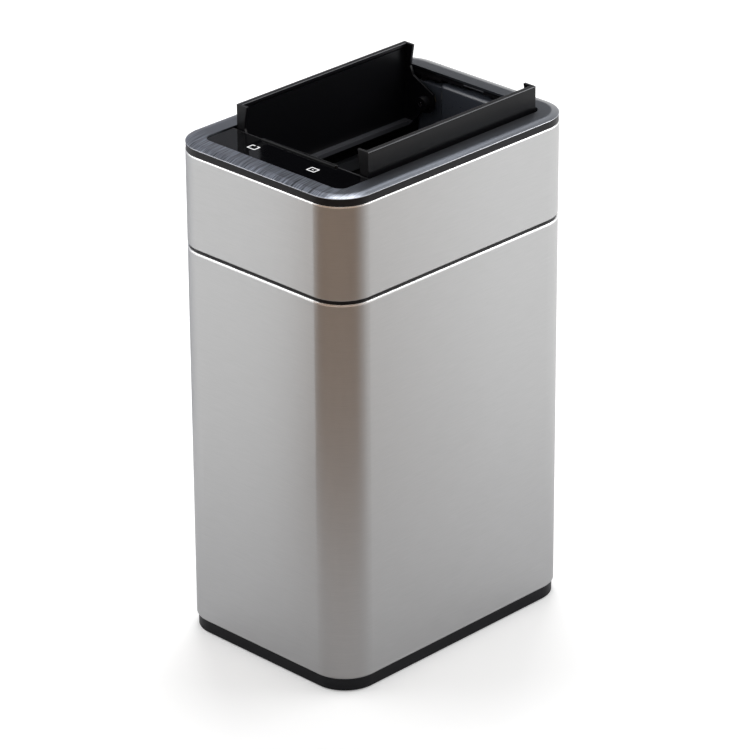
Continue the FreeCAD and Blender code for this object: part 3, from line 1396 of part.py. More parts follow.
def check_document(parts):
    """Stop if any object failed or any sub-part's shape is missing or broken."""
    for item in document.Objects:
        if "Invalid" in item.State or "Error" in item.State:
            raise RuntimeError(f"{item.Name} did not compute")
    for part in parts:
        if part.Shape.isNull() or not part.Shape.isValid() or not part.Shape.Solids:
            raise RuntimeError(f"{part.Label} has no sound shape")


def write_parts(parts):
    """Write each sub-part to its own STEP file."""
    os.makedirs("parts", exist_ok=True)
    for part in parts:
        part.Shape.exportStep(os.path.join("parts", part.Label + ".step"))


all_parts = make_everything()
document.recompute()
check_document(all_parts)
write_parts(all_parts)
print(len(all_parts), "sub-parts written")
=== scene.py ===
# %% [markdown]
# # A sensor waste bin with butterfly flaps
#
# The bin's solids come from its CAD model. This lesson gives each of them the finish
# of the real thing, adds the few parts that CAD leaves out, and sets up the studio.
# Everything is in metres. The floor is z = 0, and the narrow front faces -Y.
#
# The first cell loads the CAD model as a fixed frame. Its solids stay where they
# are: they only get new materials, or are hidden behind a finer piece.

# %% Load the frame
import json
import math

import bmesh
import bpy
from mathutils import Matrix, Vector


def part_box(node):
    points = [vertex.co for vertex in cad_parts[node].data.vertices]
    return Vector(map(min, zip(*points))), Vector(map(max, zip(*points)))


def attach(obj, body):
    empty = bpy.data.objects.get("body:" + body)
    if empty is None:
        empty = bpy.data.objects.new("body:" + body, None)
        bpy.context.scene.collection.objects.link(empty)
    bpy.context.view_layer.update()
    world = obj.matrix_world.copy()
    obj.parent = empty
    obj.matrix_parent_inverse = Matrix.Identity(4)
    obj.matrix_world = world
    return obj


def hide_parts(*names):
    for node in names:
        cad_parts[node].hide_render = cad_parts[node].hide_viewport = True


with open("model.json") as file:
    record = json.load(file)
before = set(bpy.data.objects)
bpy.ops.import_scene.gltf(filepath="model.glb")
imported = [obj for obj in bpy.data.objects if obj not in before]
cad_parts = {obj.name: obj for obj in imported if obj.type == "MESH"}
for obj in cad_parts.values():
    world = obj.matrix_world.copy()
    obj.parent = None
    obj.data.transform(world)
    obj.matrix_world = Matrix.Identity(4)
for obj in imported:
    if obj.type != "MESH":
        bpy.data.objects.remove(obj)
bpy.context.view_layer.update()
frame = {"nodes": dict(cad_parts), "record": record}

# %% [markdown]
# ## The camera
#
# The camera stands well back with a long lens, so that the upright edges stay nearly
# parallel. It is placed by turning and raising a line of sight around a point inside
# the bin, which is easier to think about than three coordinates. "Back" is the
# direction from the bin to the camera.

# %% Place the camera
AIM_HEIGHT = 0.2886
CAMERA_DISTANCE = 4.9273
CAMERA_TURN = math.radians(44.474)
CAMERA_RISE = math.radians(25.400)
CAMERA_ROLL = math.radians(-0.3455)
LENS_MM = 213.35


def direction(turn, rise):
    """Unit vector at an angle round the bin from -Y towards +X, and an angle up."""
    return Vector((math.sin(turn) * math.cos(rise), -math.cos(turn) * math.cos(rise), math.sin(rise)))


camera = bpy.data.objects.new("camera", bpy.data.cameras.new("camera"))
camera.data.lens = LENS_MM
camera.data.sensor_width = 36.0
back = direction(CAMERA_TURN, CAMERA_RISE)
camera.location = Vector((0, 0, AIM_HEIGHT)) + back * CAMERA_DISTANCE
camera.rotation_euler = back.to_track_quat("Z", "Y").to_euler()
camera.rotation_euler.rotate_axis("Z", CAMERA_ROLL)
bpy.context.collection.objects.link(camera)
bpy.context.scene.camera = camera
print("camera at", [round(value, 3) for value in camera.location])

# %% [markdown]
# ## Two helpers for materials
#
# Hex colours, as a paint chart or a colour picker gives them, are sRGB values. A
# renderer adds up light, so it needs linear values, and one function does that for
# every colour below. The second function adds one node to a material, with its
# settings, its input values and the sockets that feed it.

# %% Colours and nodes
MM = 0.001


def linear(hex_colour):
    """Turn an sRGB hex colour into linear red, green, blue and alpha."""
    channels = [int(hex_colour[place:place + 2], 16) / 255 for place in (1, 3, 5)]
    return [c / 12.92 if c <= 0.04045 else ((c + 0.055) / 1.055) ** 2.4 for c in channels] + [1.0]


def add_node(tree, kind, values=None, links=None, **settings):
    """Add a shader node with its settings, its input values and its links."""
    node = tree.nodes.new(f"ShaderNode{kind}")
    for name, setting in settings.items():
        setattr(node, name, setting)
    for socket, value in (values or {}).items():
        node.inputs[socket].default_value = value
    for socket, source in (links or {}).items():
        tree.links.new(source, node.inputs[socket])
    return node


print("mid grey #808080 is", round(linear("#808080")[0], 3), "in linear light")

# %% [markdown]
# A finish starts from the Principled shader, which covers metals, plastics and
# rubber. Its plain numbers, such as metallic and roughness, are set on its sockets.
# What varies over the surface is a pattern, and nearly every pattern here is noise
# that is stretched to real sizes: hairlines on brushed metal are noise that is long
# one way and thin the other, and moulded grain is noise of one size all round.
#
# Patterns use Object coordinates. The solids aren't moved or scaled at rest, so these
# are the bin's own metres, and a finish can tell how high or how far back it is.

# %% Start a finish and stretch a pattern
def start_finish(name, colour, values):
    """Make a material from its colour and its Principled values, and return its parts."""
    material = bpy.data.materials.new(name)
    material.use_nodes = True
    tree = material.node_tree
    shader = tree.nodes["Principled BSDF"]
    shader.inputs["Base Color"].default_value = linear(colour)
    for socket, value in values.items():
        shader.inputs[socket].default_value = value
    return material, tree, shader


def stretched_noise(tree, sizes_mm, detail=2.0, turn=0.0):
    """Noise whose spots measure about sizes_mm along X, Y and Z, after a turn about Z."""
    place = add_node(tree, "TexCoord")
    turned = add_node(tree, "VectorRotate", {"Angle": turn}, {"Vector": place.outputs["Object"]},
                      rotation_type="Z_AXIS")
    stretch = add_node(tree, "Mapping", {"Scale": [1 / (size * MM) for size in sizes_mm]},
                       {"Vector": turned.outputs["Vector"]})
    noise = add_node(tree, "TexNoise", {"Scale": 1.0, "Detail": detail, "Roughness": 0.6},
                     {"Vector": stretch.outputs["Vector"]})
    return noise.outputs["Fac"]


# %% [markdown]
# A pattern then drives the base colour, the roughness or the height of the surface.
# Noise seldom leaves the middle of its range, so the first two helpers spread just
# that middle between the two values that they are given.

# %% Let a pattern drive a finish
NOISE_LOW, NOISE_HIGH = 0.3, 0.7


def vary_colour(tree, shader, pattern, low, high):
    """Let a pattern move the base colour between two hex colours."""
    blend = add_node(tree, "ValToRGB", links={"Fac": pattern})
    blend.color_ramp.elements[0].position = NOISE_LOW
    blend.color_ramp.elements[1].position = NOISE_HIGH
    blend.color_ramp.elements[0].color = linear(low)
    blend.color_ramp.elements[1].color = linear(high)
    tree.links.new(blend.outputs["Color"], shader.inputs["Base Color"])


def vary_roughness(tree, shader, pattern, low, high):
    """Let a pattern move the roughness between two values."""
    span = add_node(tree, "MapRange", {"From Min": NOISE_LOW, "From Max": NOISE_HIGH,
                                       "To Min": low, "To Max": high}, {"Value": pattern})
    tree.links.new(span.outputs["Result"], shader.inputs["Roughness"])


def raise_grain(tree, shader, pattern, height_mm):
    """Let a pattern lift the surface by up to height_mm."""
    grain = add_node(tree, "Bump", {"Strength": 1.0, "Distance": height_mm * MM}, {"Height": pattern})
    tree.links.new(grain.outputs["Normal"], shader.inputs["Normal"])


# %% [markdown]
# The CAD record sorts the solids into material slots, one for each kind of part that
# a maker would order in one material. So a finish goes on all the solids of a slot at
# once, and a solid that differs from its slot is dressed again after it.

# %% Dress the solids of a slot
slots = {part["node"]: part["material_slot"] for part in frame["record"]["subparts"]}


def dress(names, finish):
    """Give a finish to some CAD solids."""
    for name in names:
        frame["nodes"][name].material_slots[0].material = finish
    print(finish.name, "on", ", ".join(names))


def in_slot(slot):
    """Name every CAD solid that the record puts in one material slot."""
    return [name for name, solid in frame["nodes"].items() if solid.type == "MESH" and slots[name] == slot]


print(len(slots), "solids in", len(set(slots.values())), "material slots")

# %% [markdown]
# ## Brushed stainless steel
#
# Sheet metal and mouldings have no truly sharp edges, and the small radius of an edge
# catches a line of light. A Bevel node bends the shading near an edge as a radius
# would. That is cheap, because no vertex moves. Where the surface has a grain, the
# rounded shading goes in under it.
#
# The other two helpers mark bands of height, because some parts of a sheet are
# finished in another way than the rest. One reads how high a point lies. The other
# is a colour ramp over that height, which jumps from black to white and back instead
# of blending.

# %% Rounded edges and bands of height
EDGE_SAMPLES = 12


def round_edges(tree, shader, radius_mm):
    """Shade the sharp edges of a solid as if they were rounded."""
    rounded = add_node(tree, "Bevel", {"Radius": radius_mm * MM}, samples=EDGE_SAMPLES)
    grain = shader.inputs["Normal"].links
    target = grain[0].from_node.inputs["Normal"] if grain else shader.inputs["Normal"]
    tree.links.new(rounded.outputs["Normal"], target)


def read_place(tree, axis):
    """Return how far along X, Y or Z a point lies, in metres."""
    place = add_node(tree, "TexCoord")
    axes = add_node(tree, "SeparateXYZ", links={0: place.outputs["Object"]})
    return axes.outputs[axis]


def mark_heights(tree, bands_mm, low_mm, high_mm):
    """Return a mask that is white in some bands of height and black elsewhere."""
    span = add_node(tree, "MapRange", {"From Min": low_mm * MM, "From Max": high_mm * MM},
                    {"Value": read_place(tree, "Z")})
    mask = add_node(tree, "ValToRGB", links={"Fac": span.outputs["Result"]})
    mask.color_ramp.interpolation = "CONSTANT"
    mask.color_ramp.elements[1].color = linear("#000000")
    for band in bands_mm:
        for height, shade in zip(band, ("#ffffff", "#000000")):
            stop = mask.color_ramp.elements.new((height - low_mm) / (high_mm - low_mm))
            stop.color = linear(shade)
    return mask.outputs["Color"]


# %% [markdown]
# The body and the lid's collar are sheet steel, brushed round the bin with a belt.
# The belt leaves level hairlines, so the steel mirrors sharply along them and smears
# a reflection up and down. Anisotropy gives exactly that: its tangent follows the
# hairlines round the bin, and its roughness is larger across them. Hairlines of
# 0.3 mm would be too fine to see from here, so they are drawn 0.5 mm apart. A clear
# coat against fingerprints softens the steel a little, so its roughness isn't low.
#
# Each edge of the sheet is folded over into a hem. The belt doesn't reach the fold,
# so it stays as smooth as the sheet came from the mill, and catches the lamps as a
# thin white line. The bands mark the two upper hems. There the roughness is
# multiplied by a small number, and a Mix node brings in a paler colour: a painted
# highlight that makes that line whiter. A Mix node has sockets for each kind of
# value, so they are called by their number: 6 and 7 are its two colours.

# %% Brushed stainless steel
HEMS_MM = [(463.3, 466.1), (575.8, 578.3)]
stainless, tree, shader = start_finish(
    "brushed_stainless_steel", "#b5b5b5",
    {"Metallic": 1.0, "Roughness": 0.4, "Anisotropic": 0.85, "Anisotropic Rotation": 0.25})
hairlines = stretched_noise(tree, (25, 25, 0.5))
vary_colour(tree, shader, hairlines, "#b2b2b2", "#b8b8b8")
vary_roughness(tree, shader, hairlines, 0.38, 0.42)
hem = mark_heights(tree, HEMS_MM, low_mm=450, high_mm=590)
gloss = add_node(tree, "MapRange", {"To Min": 1.0, "To Max": 0.4}, {"Value": hem})
brushed = shader.inputs["Roughness"].links[0].from_socket
hemmed = add_node(tree, "Math", links={0: brushed, 1: gloss.outputs["Result"]}, operation="MULTIPLY")
tree.links.new(hemmed.outputs["Value"], shader.inputs["Roughness"])
grey = shader.inputs["Base Color"].links[0].from_socket
# The paler colour in the hem bands is a painted highlight that whitens the line on each fold.
painted_hem_highlight = add_node(tree, "Mix", {7: linear("#ececec")}, {0: hem, 6: grey}, data_type="RGBA")
tree.links.new(painted_hem_highlight.outputs[2], shader.inputs["Base Color"])
around = add_node(tree, "Tangent", direction_type="RADIAL", axis="Z")
tree.links.new(around.outputs["Tangent"], shader.inputs["Tangent"])
round_edges(tree, shader, radius_mm=3)
dress(in_slot("brushed_steel"), stainless)

# %% [markdown]
# ## Moulded black plastic
#
# The base tray, the seam ring, the bezel and the parts inside the lid are
# injection-moulded ABS. The mould is spark-eroded, which leaves a fine satin grain:
# about 0.7 mm across here, and a hundredth of a millimetre high.

# %% Moulded black ABS
abs_black, tree, shader = start_finish(
    "moulded_black_abs", "#131316", {"Roughness": 0.42, "IOR": 1.53, "Specular IOR Level": 0.2})
grain = stretched_noise(tree, (0.7, 0.7, 0.7))
vary_colour(tree, shader, stretched_noise(tree, (25, 25, 25)), "#111114", "#161619")
vary_roughness(tree, shader, grain, 0.38, 0.48)
raise_grain(tree, shader, grain, height_mm=0.012)
round_edges(tree, shader, radius_mm=0.8)
dress(in_slot("black_abs"), abs_black)

# %% [markdown]
# The rounded case at the back covers the motor and its gears. It is the same plastic
# from a polished mould, so it shines more than the parts round it. Its base colour is
# a lighter blue-grey than the black ABS: a painted sheen. Its CAD solid has crisp
# edges, so they are shaded with a radius of 3 mm, and the top edge catches a line of
# light.

# %% Smoother ABS for the drive case, with a painted sheen
# The lighter blue-grey base colour is a painted sheen on black ABS.
case_abs_painted_sheen, tree, shader = start_finish(
    "black_abs_painted_sheen", "#42464f", {"Roughness": 0.32, "IOR": 1.53, "Specular IOR Level": 1.0})
grain = stretched_noise(tree, (2.5, 2.5, 2.5))
vary_roughness(tree, shader, grain, 0.27, 0.33)
round_edges(tree, shader, radius_mm=3)
dress(["drive_case"], case_abs_painted_sheen)

# %% [markdown]
# ## The flaps
#
# The flaps are moulded in a charcoal ABS with a smoother, satin mould, so light
# slides along them in one broad sheen and the grain hardly shows. A band of lighter
# grey on the lip along their foot is a painted highlight, for the light that falls
# on that lip.

# %% Satin charcoal ABS
LIP_HIGHLIGHT_MM = [(519.5, 525.5)]
abs_satin, tree, shader = start_finish(
    "satin_charcoal_abs", "#0e0e11", {"Roughness": 0.36, "IOR": 1.53, "Specular IOR Level": 0.2})
grain = stretched_noise(tree, (1.2, 1.2, 1.2))
# The lighter grey band on the lip is a painted highlight.
painted_lip_highlight = mark_heights(tree, LIP_HIGHLIGHT_MM, low_mm=500, high_mm=620)
vary_colour(tree, shader, painted_lip_highlight, "#0e0e11", "#4c4d52")
vary_roughness(tree, shader, grain, 0.31, 0.38)
raise_grain(tree, shader, grain, height_mm=0.006)
round_edges(tree, shader, radius_mm=0.6)
dress(in_slot("flap_abs"), abs_satin)

# %% [markdown]
# ## Bucket and bag ring
#
# The inner bucket is blow-moulded polypropylene: waxy, and slightly wavy where the
# blown wall cooled unevenly. Its dark grey is lighter than the ABS round it.

# %% Dark grey polypropylene
polypropylene, tree, shader = start_finish(
    "dark_polypropylene", "#2b2b2e", {"Roughness": 0.5, "IOR": 1.49, "Specular IOR Level": 0.4})
waves = stretched_noise(tree, (18, 18, 30))
vary_colour(tree, shader, waves, "#28282b", "#2e2e31")
vary_roughness(tree, shader, waves, 0.44, 0.56)
raise_grain(tree, shader, waves, height_mm=0.05)
dress(in_slot("bucket_pp"), polypropylene)

# %% [markdown]
# The bag ring clamps the rim of the bag to the bucket. It is injection-moulded from
# the same plastic, and it comes out smoother than the blown bucket. Its lighter grey
# is a painted highlight for the light that catches its rim in the dark opening.

# %% Lighter polypropylene for the bag ring, a painted highlight
# The lighter grey is a painted highlight on the ring's rim.
ring_pp_painted_highlight, tree, shader = start_finish(
    "polypropylene_painted_highlight", "#5c5e63", {"Roughness": 0.4, "IOR": 1.49, "Specular IOR Level": 0.5})
waves = stretched_noise(tree, (18, 18, 30))
vary_roughness(tree, shader, waves, 0.36, 0.46)
round_edges(tree, shader, radius_mm=1.0)
dress(["bag_ring"], ring_pp_painted_highlight)

# %% [markdown]
# ## Piano-black acrylic
#
# The sensor looks out through a panel of dark acrylic. It is polished, so it has
# almost no roughness, and only a trace of fine dust breaks the reflection up.

# %% Piano-black acrylic
acrylic, tree, shader = start_finish(
    "piano_black_acrylic", "#08080a", {"Roughness": 0.06, "IOR": 1.49, "Specular IOR Level": 0.12})
vary_roughness(tree, shader, stretched_noise(tree, (3, 3, 3), detail=4.0), 0.04, 0.1)
dress(in_slot("gloss_panel"), acrylic)

# %% [markdown]
# ## The small metals
#
# Screws, pins, shafts, the motor's can and the cell contacts are zinc-plated or
# ground steel. The plating leaves a cloudy, faintly blue shine. The bushes are
# turned brass, with rings round the axis where the tool cut.

# %% Zinc-plated steel
zinc, tree, shader = start_finish("zinc_plated_steel", "#c3c5ca", {"Metallic": 1.0, "Roughness": 0.28})
clouds = stretched_noise(tree, (3, 3, 3), detail=3.0)
vary_colour(tree, shader, clouds, "#b7bac1", "#cdced2")
vary_roughness(tree, shader, clouds, 0.2, 0.36)
dress(in_slot("bright_steel"), zinc)

# %% Turned brass
brass, tree, shader = start_finish("turned_brass", "#c9a764", {"Metallic": 1.0, "Roughness": 0.25})
rings = stretched_noise(tree, (8, 0.4, 8))
vary_colour(tree, shader, rings, "#bd9a55", "#d2b273")
vary_roughness(tree, shader, rings, 0.18, 0.32)
dress(in_slot("bush_brass"), brass)

# %% [markdown]
# ## Plastics and foam inside the lid
#
# The gears are natural acetal, an off-white plastic that is slippery and a little
# see-through at its edges. The catch bar is grey ABS. Foam pads press the touch
# keys against the panel, and rubber feet stand on the floor: both are matt, with
# small pores that a coarse noise gives.

# %% Natural acetal
acetal, tree, shader = start_finish(
    "natural_acetal", "#e6e3d8", {"Roughness": 0.35, "IOR": 1.48, "Subsurface Weight": 0.1,
                                  "Subsurface Scale": 1.0 * MM})
vary_roughness(tree, shader, stretched_noise(tree, (1, 1, 1)), 0.3, 0.42)
dress(in_slot("gear_acetal"), acetal)

# %% Grey ABS
abs_grey, tree, shader = start_finish("moulded_grey_abs", "#66686e", {"Roughness": 0.4, "IOR": 1.53})
grain = stretched_noise(tree, (0.7, 0.7, 0.7))
vary_roughness(tree, shader, grain, 0.35, 0.46)
raise_grain(tree, shader, grain, height_mm=0.01)
dress(in_slot("grey_plastic"), abs_grey)

# %% Rubber and foam
rubber, tree, shader = start_finish("matt_rubber", "#1a1a1b", {"Roughness": 0.8, "IOR": 1.52})
pores = stretched_noise(tree, (0.9, 0.9, 0.9), detail=4.0)
vary_colour(tree, shader, pores, "#161617", "#202021")
raise_grain(tree, shader, pores, height_mm=0.05)
dress(in_slot("rubber"), rubber)

foam, tree, shader = start_finish("conductive_foam", "#2a2a2c", {"Roughness": 0.95, "IOR": 1.5})
pores = stretched_noise(tree, (0.6, 0.6, 0.6), detail=4.0)
vary_colour(tree, shader, pores, "#1e1e20", "#363639")
raise_grain(tree, shader, pores, height_mm=0.2)
dress(in_slot("foam"), foam)

# %% [markdown]
# ## Electronics
#
# The board is fibreglass under green solder mask. Tracks under the mask show as
# lighter green lines; a checker-like voronoi pattern with straight cells stands in
# for them. The infrared lenses are dark epoxy that looks purple at a slant, and the
# four cells are wrapped in plain printed film.

# %% Solder mask
solder_mask, tree, shader = start_finish("green_solder_mask", "#1c5a33", {"Roughness": 0.3, "IOR": 1.55})
place = add_node(tree, "TexCoord")
cells = add_node(tree, "TexVoronoi", {"Scale": 1 / (4 * MM), "Randomness": 0.6},
                 {"Vector": place.outputs["Object"]}, distance="CHEBYCHEV", feature="F1")
vary_colour(tree, shader, cells.outputs["Distance"], "#2c7a48", "#194f2d")
dress(in_slot("board_green"), solder_mask)

# %% Infrared lens and cell film
lens, tree, shader = start_finish(
    "infrared_epoxy", "#1c0f1d", {"Roughness": 0.08, "IOR": 1.54, "Coat Weight": 0.3})
vary_roughness(tree, shader, stretched_noise(tree, (1, 1, 1)), 0.05, 0.12)
dress(in_slot("sensor_lens"), lens)

film, tree, shader = start_finish("printed_cell_film", "#7b828c", {"Roughness": 0.25, "IOR": 1.5})
vary_colour(tree, shader, stretched_noise(tree, (30, 6, 6)), "#737a85", "#868c95")
dress(in_slot("cell_wrap"), film)

# %% [markdown]
# ## Tools for the new pieces
#
# Most parts of a lid are rounded rectangles of different sizes, stacked and joined.
# So one helper draws such an outline: four corner points are made into a face, a
# vertex bevel rounds the corners, and the face is thrown away so that only its edges
# stay. A second helper joins a list of outlines with strips of faces.
#
# The last two make the object. A piece's faces are shaded smooth, apart from edges
# that turn by more than 30 degrees, and it rides on the body it is fixed to.

# %% Outlines, strips and finished pieces
CORNER_STEPS = 20
CRISP_ANGLE = math.radians(30)
LEVEL = 0.001 * MM


def draw_outline(mesh, half_x, half_y, radius, height, middle=(0, 0)):
    """Draw a level rounded rectangle and return its edges."""
    corners = [mesh.verts.new((middle[0] + side_x * half_x, middle[1] + side_y * half_y, height))
               for side_x, side_y in ((-1, -1), (1, -1), (1, 1), (-1, 1))]
    mesh.faces.new(corners)
    bmesh.ops.bevel(mesh, geom=corners, affect="VERTICES", offset=radius, offset_type="OFFSET",
                    segments=CORNER_STEPS, profile=0.5, material=-1)
    mesh.faces.ensure_lookup_table()
    face = mesh.faces[0]
    edges = list(face.edges)
    bmesh.ops.delete(mesh, geom=[face], context="FACES_ONLY")
    return edges


def join_outlines(mesh, outlines, closed=False):
    """Join each outline to the next, and return the faces strip by strip."""
    strips = []
    for here, there in zip(outlines, outlines[1:] + (outlines[:1] if closed else [])):
        rise = there[0].verts[0].co.z - here[0].verts[0].co.z
        if abs(rise) < LEVEL:
            filled = bmesh.ops.triangle_fill(mesh, edges=here + there, use_beauty=True)["geom"]
            strips.append([item for item in filled if isinstance(item, bmesh.types.BMFace)])
        else:
            strips.append(bmesh.ops.bridge_loops(mesh, edges=here + there)["faces"])
    return strips


def add_object(mesh, name, finishes):
    """Turn a bmesh into an object of the scene that wears its finishes."""
    thing = bpy.data.objects.new(name, bpy.data.meshes.new(name))
    mesh.to_mesh(thing.data)
    mesh.free()
    for finish in finishes:
        thing.data.materials.append(finish)
    bpy.context.collection.objects.link(thing)
    return thing


def make_piece(mesh, name, body, finishes, stands_for=()):
    """Turn a bmesh into a piece that rides on a body."""
    bmesh.ops.recalc_face_normals(mesh, faces=mesh.faces)
    for face in mesh.faces:
        face.smooth = True
    for edge in mesh.edges:
        edge.smooth = len(edge.link_faces) == 2 and edge.calc_face_angle() < CRISP_ANGLE
    piece = add_object(mesh, name, finishes)
    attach(piece, body)
    if stands_for:
        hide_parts(*stands_for)
    print(name, "has", len(piece.data.polygons), "faces")


print("corners are drawn in", CORNER_STEPS, "steps")

# %% [markdown]
# ## The trim plate
#
# A dark plate of coated, brushed metal lies round the opening. It is pressed, so its
# top falls away a little towards the outside, and its outer edge is cut at a slant
# after coating, which lays a hair of bright metal bare. The CAD plate is flat with a
# plain chamfer, so a finer one stands for it here.
#
# The front strip is brushed with a coarser belt than the rest, so its hairlines show
# as streaks, and it is lighter on average: that lighter tone is a painted reflection.
# The streaks are noise that is 1.8 mm wide, which is coarser than real ones, and a
# range over Y fades them into an even, darker tone behind the front. The Mix node's
# plain numbers are its sockets 2 and 3.

# %% Coating and bright cut
BRUSH_TURN = math.radians(-8)
STREAK_SHEEN_FROM, STREAK_SHEEN_FULL = -138 * MM, -158 * MM
SMOOTH_LEVEL = 0.42
coating, tree, shader = start_finish(
    "dark_brushed_coating", "#4c5059",
    {"Metallic": 1.0, "Roughness": 0.38, "Anisotropic": 0.6, "Coat Weight": 0.8, "Coat Roughness": 0.18})
hairlines = stretched_noise(tree, (1.8, 40, 40), detail=3.0, turn=BRUSH_TURN)
front = add_node(tree, "MapRange", {"From Min": STREAK_SHEEN_FROM, "From Max": STREAK_SHEEN_FULL},
                 {"Value": read_place(tree, "Y")})
# On the front strip the colour is lighter on average: a painted reflection, mixed with real hairline streaks.
streaks_and_painted_sheen = add_node(tree, "Mix", {2: SMOOTH_LEVEL}, {0: front.outputs["Result"], 3: hairlines})
vary_colour(tree, shader, streaks_and_painted_sheen.outputs[0], "#202329", "#8e94a0")
vary_roughness(tree, shader, streaks_and_painted_sheen.outputs[0], 0.3, 0.42)
along = add_node(tree, "Tangent", direction_type="RADIAL", axis="X")
tree.links.new(along.outputs["Tangent"], shader.inputs["Tangent"])

bright_cut, tree, shader = start_finish("bright_cut_metal", "#c9cacf", {"Metallic": 1.0, "Roughness": 0.25})
vary_roughness(tree, shader, stretched_noise(tree, (2, 2, 2)), 0.15, 0.26)
print("new finishes:", coating.name, "and", bright_cut.name)

# %% [markdown]
# The plate is a closed ring of twelve outlines: up the crown from the outside, across
# to the opening, down its wall and back underneath. Only the strip of the slanted
# cut gets the second material. The outer size and both heights come from the box of
# the CAD plate.

# %% Trim plate
OUTER_RADIUS = 42 * MM
OPENING_HALF_X, OPENING_HALF_Y, OPENING_RADIUS = 104.5 * MM, 156 * MM, 12 * MM
# How far in from the outside, and how far down from the top, in millimetres.
CROWN = [(0.0, 2.4), (0.35, 2.15), (1.2, 1.85), (2.6, 1.4), (4.4, 0.92), (6.2, 0.5), (7.8, 0.2), (9.4, 0.03),
         (11.0, 0.0)]
trim_low, trim_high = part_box("trim_plate")
mesh = bmesh.new()
outlines = [draw_outline(mesh, trim_high.x, trim_high.y, OUTER_RADIUS, trim_low.z)]
for inset, drop in CROWN:
    outlines.append(draw_outline(mesh, trim_high.x - inset * MM, trim_high.y - inset * MM,
                                 OUTER_RADIUS - inset * MM, trim_high.z - drop * MM))
for height in (trim_high.z, trim_low.z):
    outlines.append(draw_outline(mesh, OPENING_HALF_X, OPENING_HALF_Y, OPENING_RADIUS, height))
strips = join_outlines(mesh, outlines, closed=True)
for face in strips[1]:
    face.material_index = 1
make_piece(mesh, "trim_plate_pressed", "lid", [coating, bright_cut], ["trim_plate"])

# %% [markdown]
# ## A ridge and a catch
#
# Between the feet of the flaps the panel's frame ends in a soft ridge, a roll of
# plastic that keeps crumbs off the keys. It is as glossy as the panel and sunk almost
# to half. At the back a grey bar in a notch holds the closed flaps. Both are bars, so
# one helper makes a box and rounds its edges with a bevel.

# %% Ridge and catch bar
def rounded_bar(low, high, radius, steps=6):
    """Box between two corners, in metres, with every edge rounded."""
    mesh = bmesh.new()
    bmesh.ops.create_cube(mesh, size=1.0)
    bmesh.ops.scale(mesh, vec=high - low, verts=mesh.verts)
    bmesh.ops.translate(mesh, vec=(low + high) / 2, verts=mesh.verts)
    bmesh.ops.bevel(mesh, geom=mesh.edges, affect="EDGES", offset=radius, segments=steps,
                    profile=0.5, material=-1)
    return mesh


RIDGE_HALF_X, RIDGE_WIDE, RIDGE_TALL = 57 * MM, 5.0 * MM, 5.0 * MM
RIDGE_PROUD, RIDGE_RADIUS = 2.6 * MM, 2.3 * MM
_, carrier_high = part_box("panel_carrier")
ridge_rear = carrier_high.y
ridge_top = carrier_high.z + RIDGE_PROUD
ridge = rounded_bar(Vector((-RIDGE_HALF_X, ridge_rear - RIDGE_WIDE, ridge_top - RIDGE_TALL)),
                    Vector((RIDGE_HALF_X, ridge_rear, ridge_top)), RIDGE_RADIUS)
make_piece(ridge, "panel_ridge", "lid", [acrylic])

CATCH_HALF_X, CATCH_RADIUS = 18.5 * MM, 0.6 * MM
catch_low, catch_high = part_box("rear_catch")
bar = rounded_bar(Vector((-CATCH_HALF_X, catch_low.y, catch_low.z)),
                  Vector((CATCH_HALF_X, catch_high.y, catch_high.z)), CATCH_RADIUS)
make_piece(bar, "rear_catch_bar", "lid", [abs_grey], ["rear_catch"])

# %% [markdown]
# A pale bead one millimetre thick, a hair proud of the flap, runs along each free
# edge and swings with its flap. Its pale grey is a painted highlight, for the light
# that the sharp free edge catches. It lies on the side of the edge that faces +X,
# which is the outside of the right flap and the inside of the left one.

# %% Painted highlights on the flap edges
FLAP_EDGE = 5.2 * MM
BEAD, BEAD_PROUD, BEAD_RADIUS = 1.0 * MM, 0.15 * MM, 0.3 * MM
# The pale grey of the bead is a painted highlight on the flap's edge.
edge_highlight_abs, tree, shader = start_finish("abs_painted_edge_highlight", "#85868a", {"Roughness": 0.35, "IOR": 1.53})
vary_colour(tree, shader, stretched_noise(tree, (4, 20, 4)), "#77787c", "#929397")
for name in ("left_flap", "right_flap"):
    flap_low, flap_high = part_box(name)
    face = flap_low.x + FLAP_EDGE if name == "left_flap" else flap_high.x
    bead = rounded_bar(Vector((face + BEAD_PROUD - BEAD, flap_low.y, flap_high.z - BEAD)),
                       Vector((face + BEAD_PROUD, flap_high.y, flap_high.z)), BEAD_RADIUS, steps=3)
    make_piece(bead, name + "_painted_edge_highlight", name, [edge_highlight_abs])

# %% [markdown]
# ## Marks on the touch keys
#
# Each touch key is a mark 12 mm wide, printed in white on the panel: a frame, and on
# the right one a small block in its middle. The ink stands two hundredths of a
# millimetre proud. A real print is thinner still, but this keeps the two surfaces
# apart.

# %% White print
print_white, tree, shader = start_finish("white_print", "#f0f1f2", {"Roughness": 0.5, "IOR": 1.5})
vary_colour(tree, shader, stretched_noise(tree, (0.6, 0.6, 0.6)), "#e6e7e9", "#f8f8f9")
print("new finish:", print_white.name)

# %% [markdown]
# A frame is four outlines joined in a ring: its outer edge on the panel and on top of
# the ink, then its inner edge on top and back down. The left frame is open at the
# back. Two upright cuts mark a slice there, its faces are deleted, and filling the
# holes closes both ends of the ink again.

# %% Two key marks
MARK_HALF_X, MARK_HALF_Y = 6.1 * MM, 4.9 * MM
MARK_LINE = 1.6 * MM
MARK_CORNER = 1.0 * MM
MARK_GAP_HALF = 1.5 * MM
MARK_BLOCK = (2.6 * MM, 1.5 * MM)
INK = 0.02 * MM
CUT_SNAP = 1e-7
MARK_PLACES = {"left": (-47.8 * MM, -134.2 * MM), "right": (41.9 * MM, -134.2 * MM)}
panel_low, panel_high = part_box("sensor_panel")


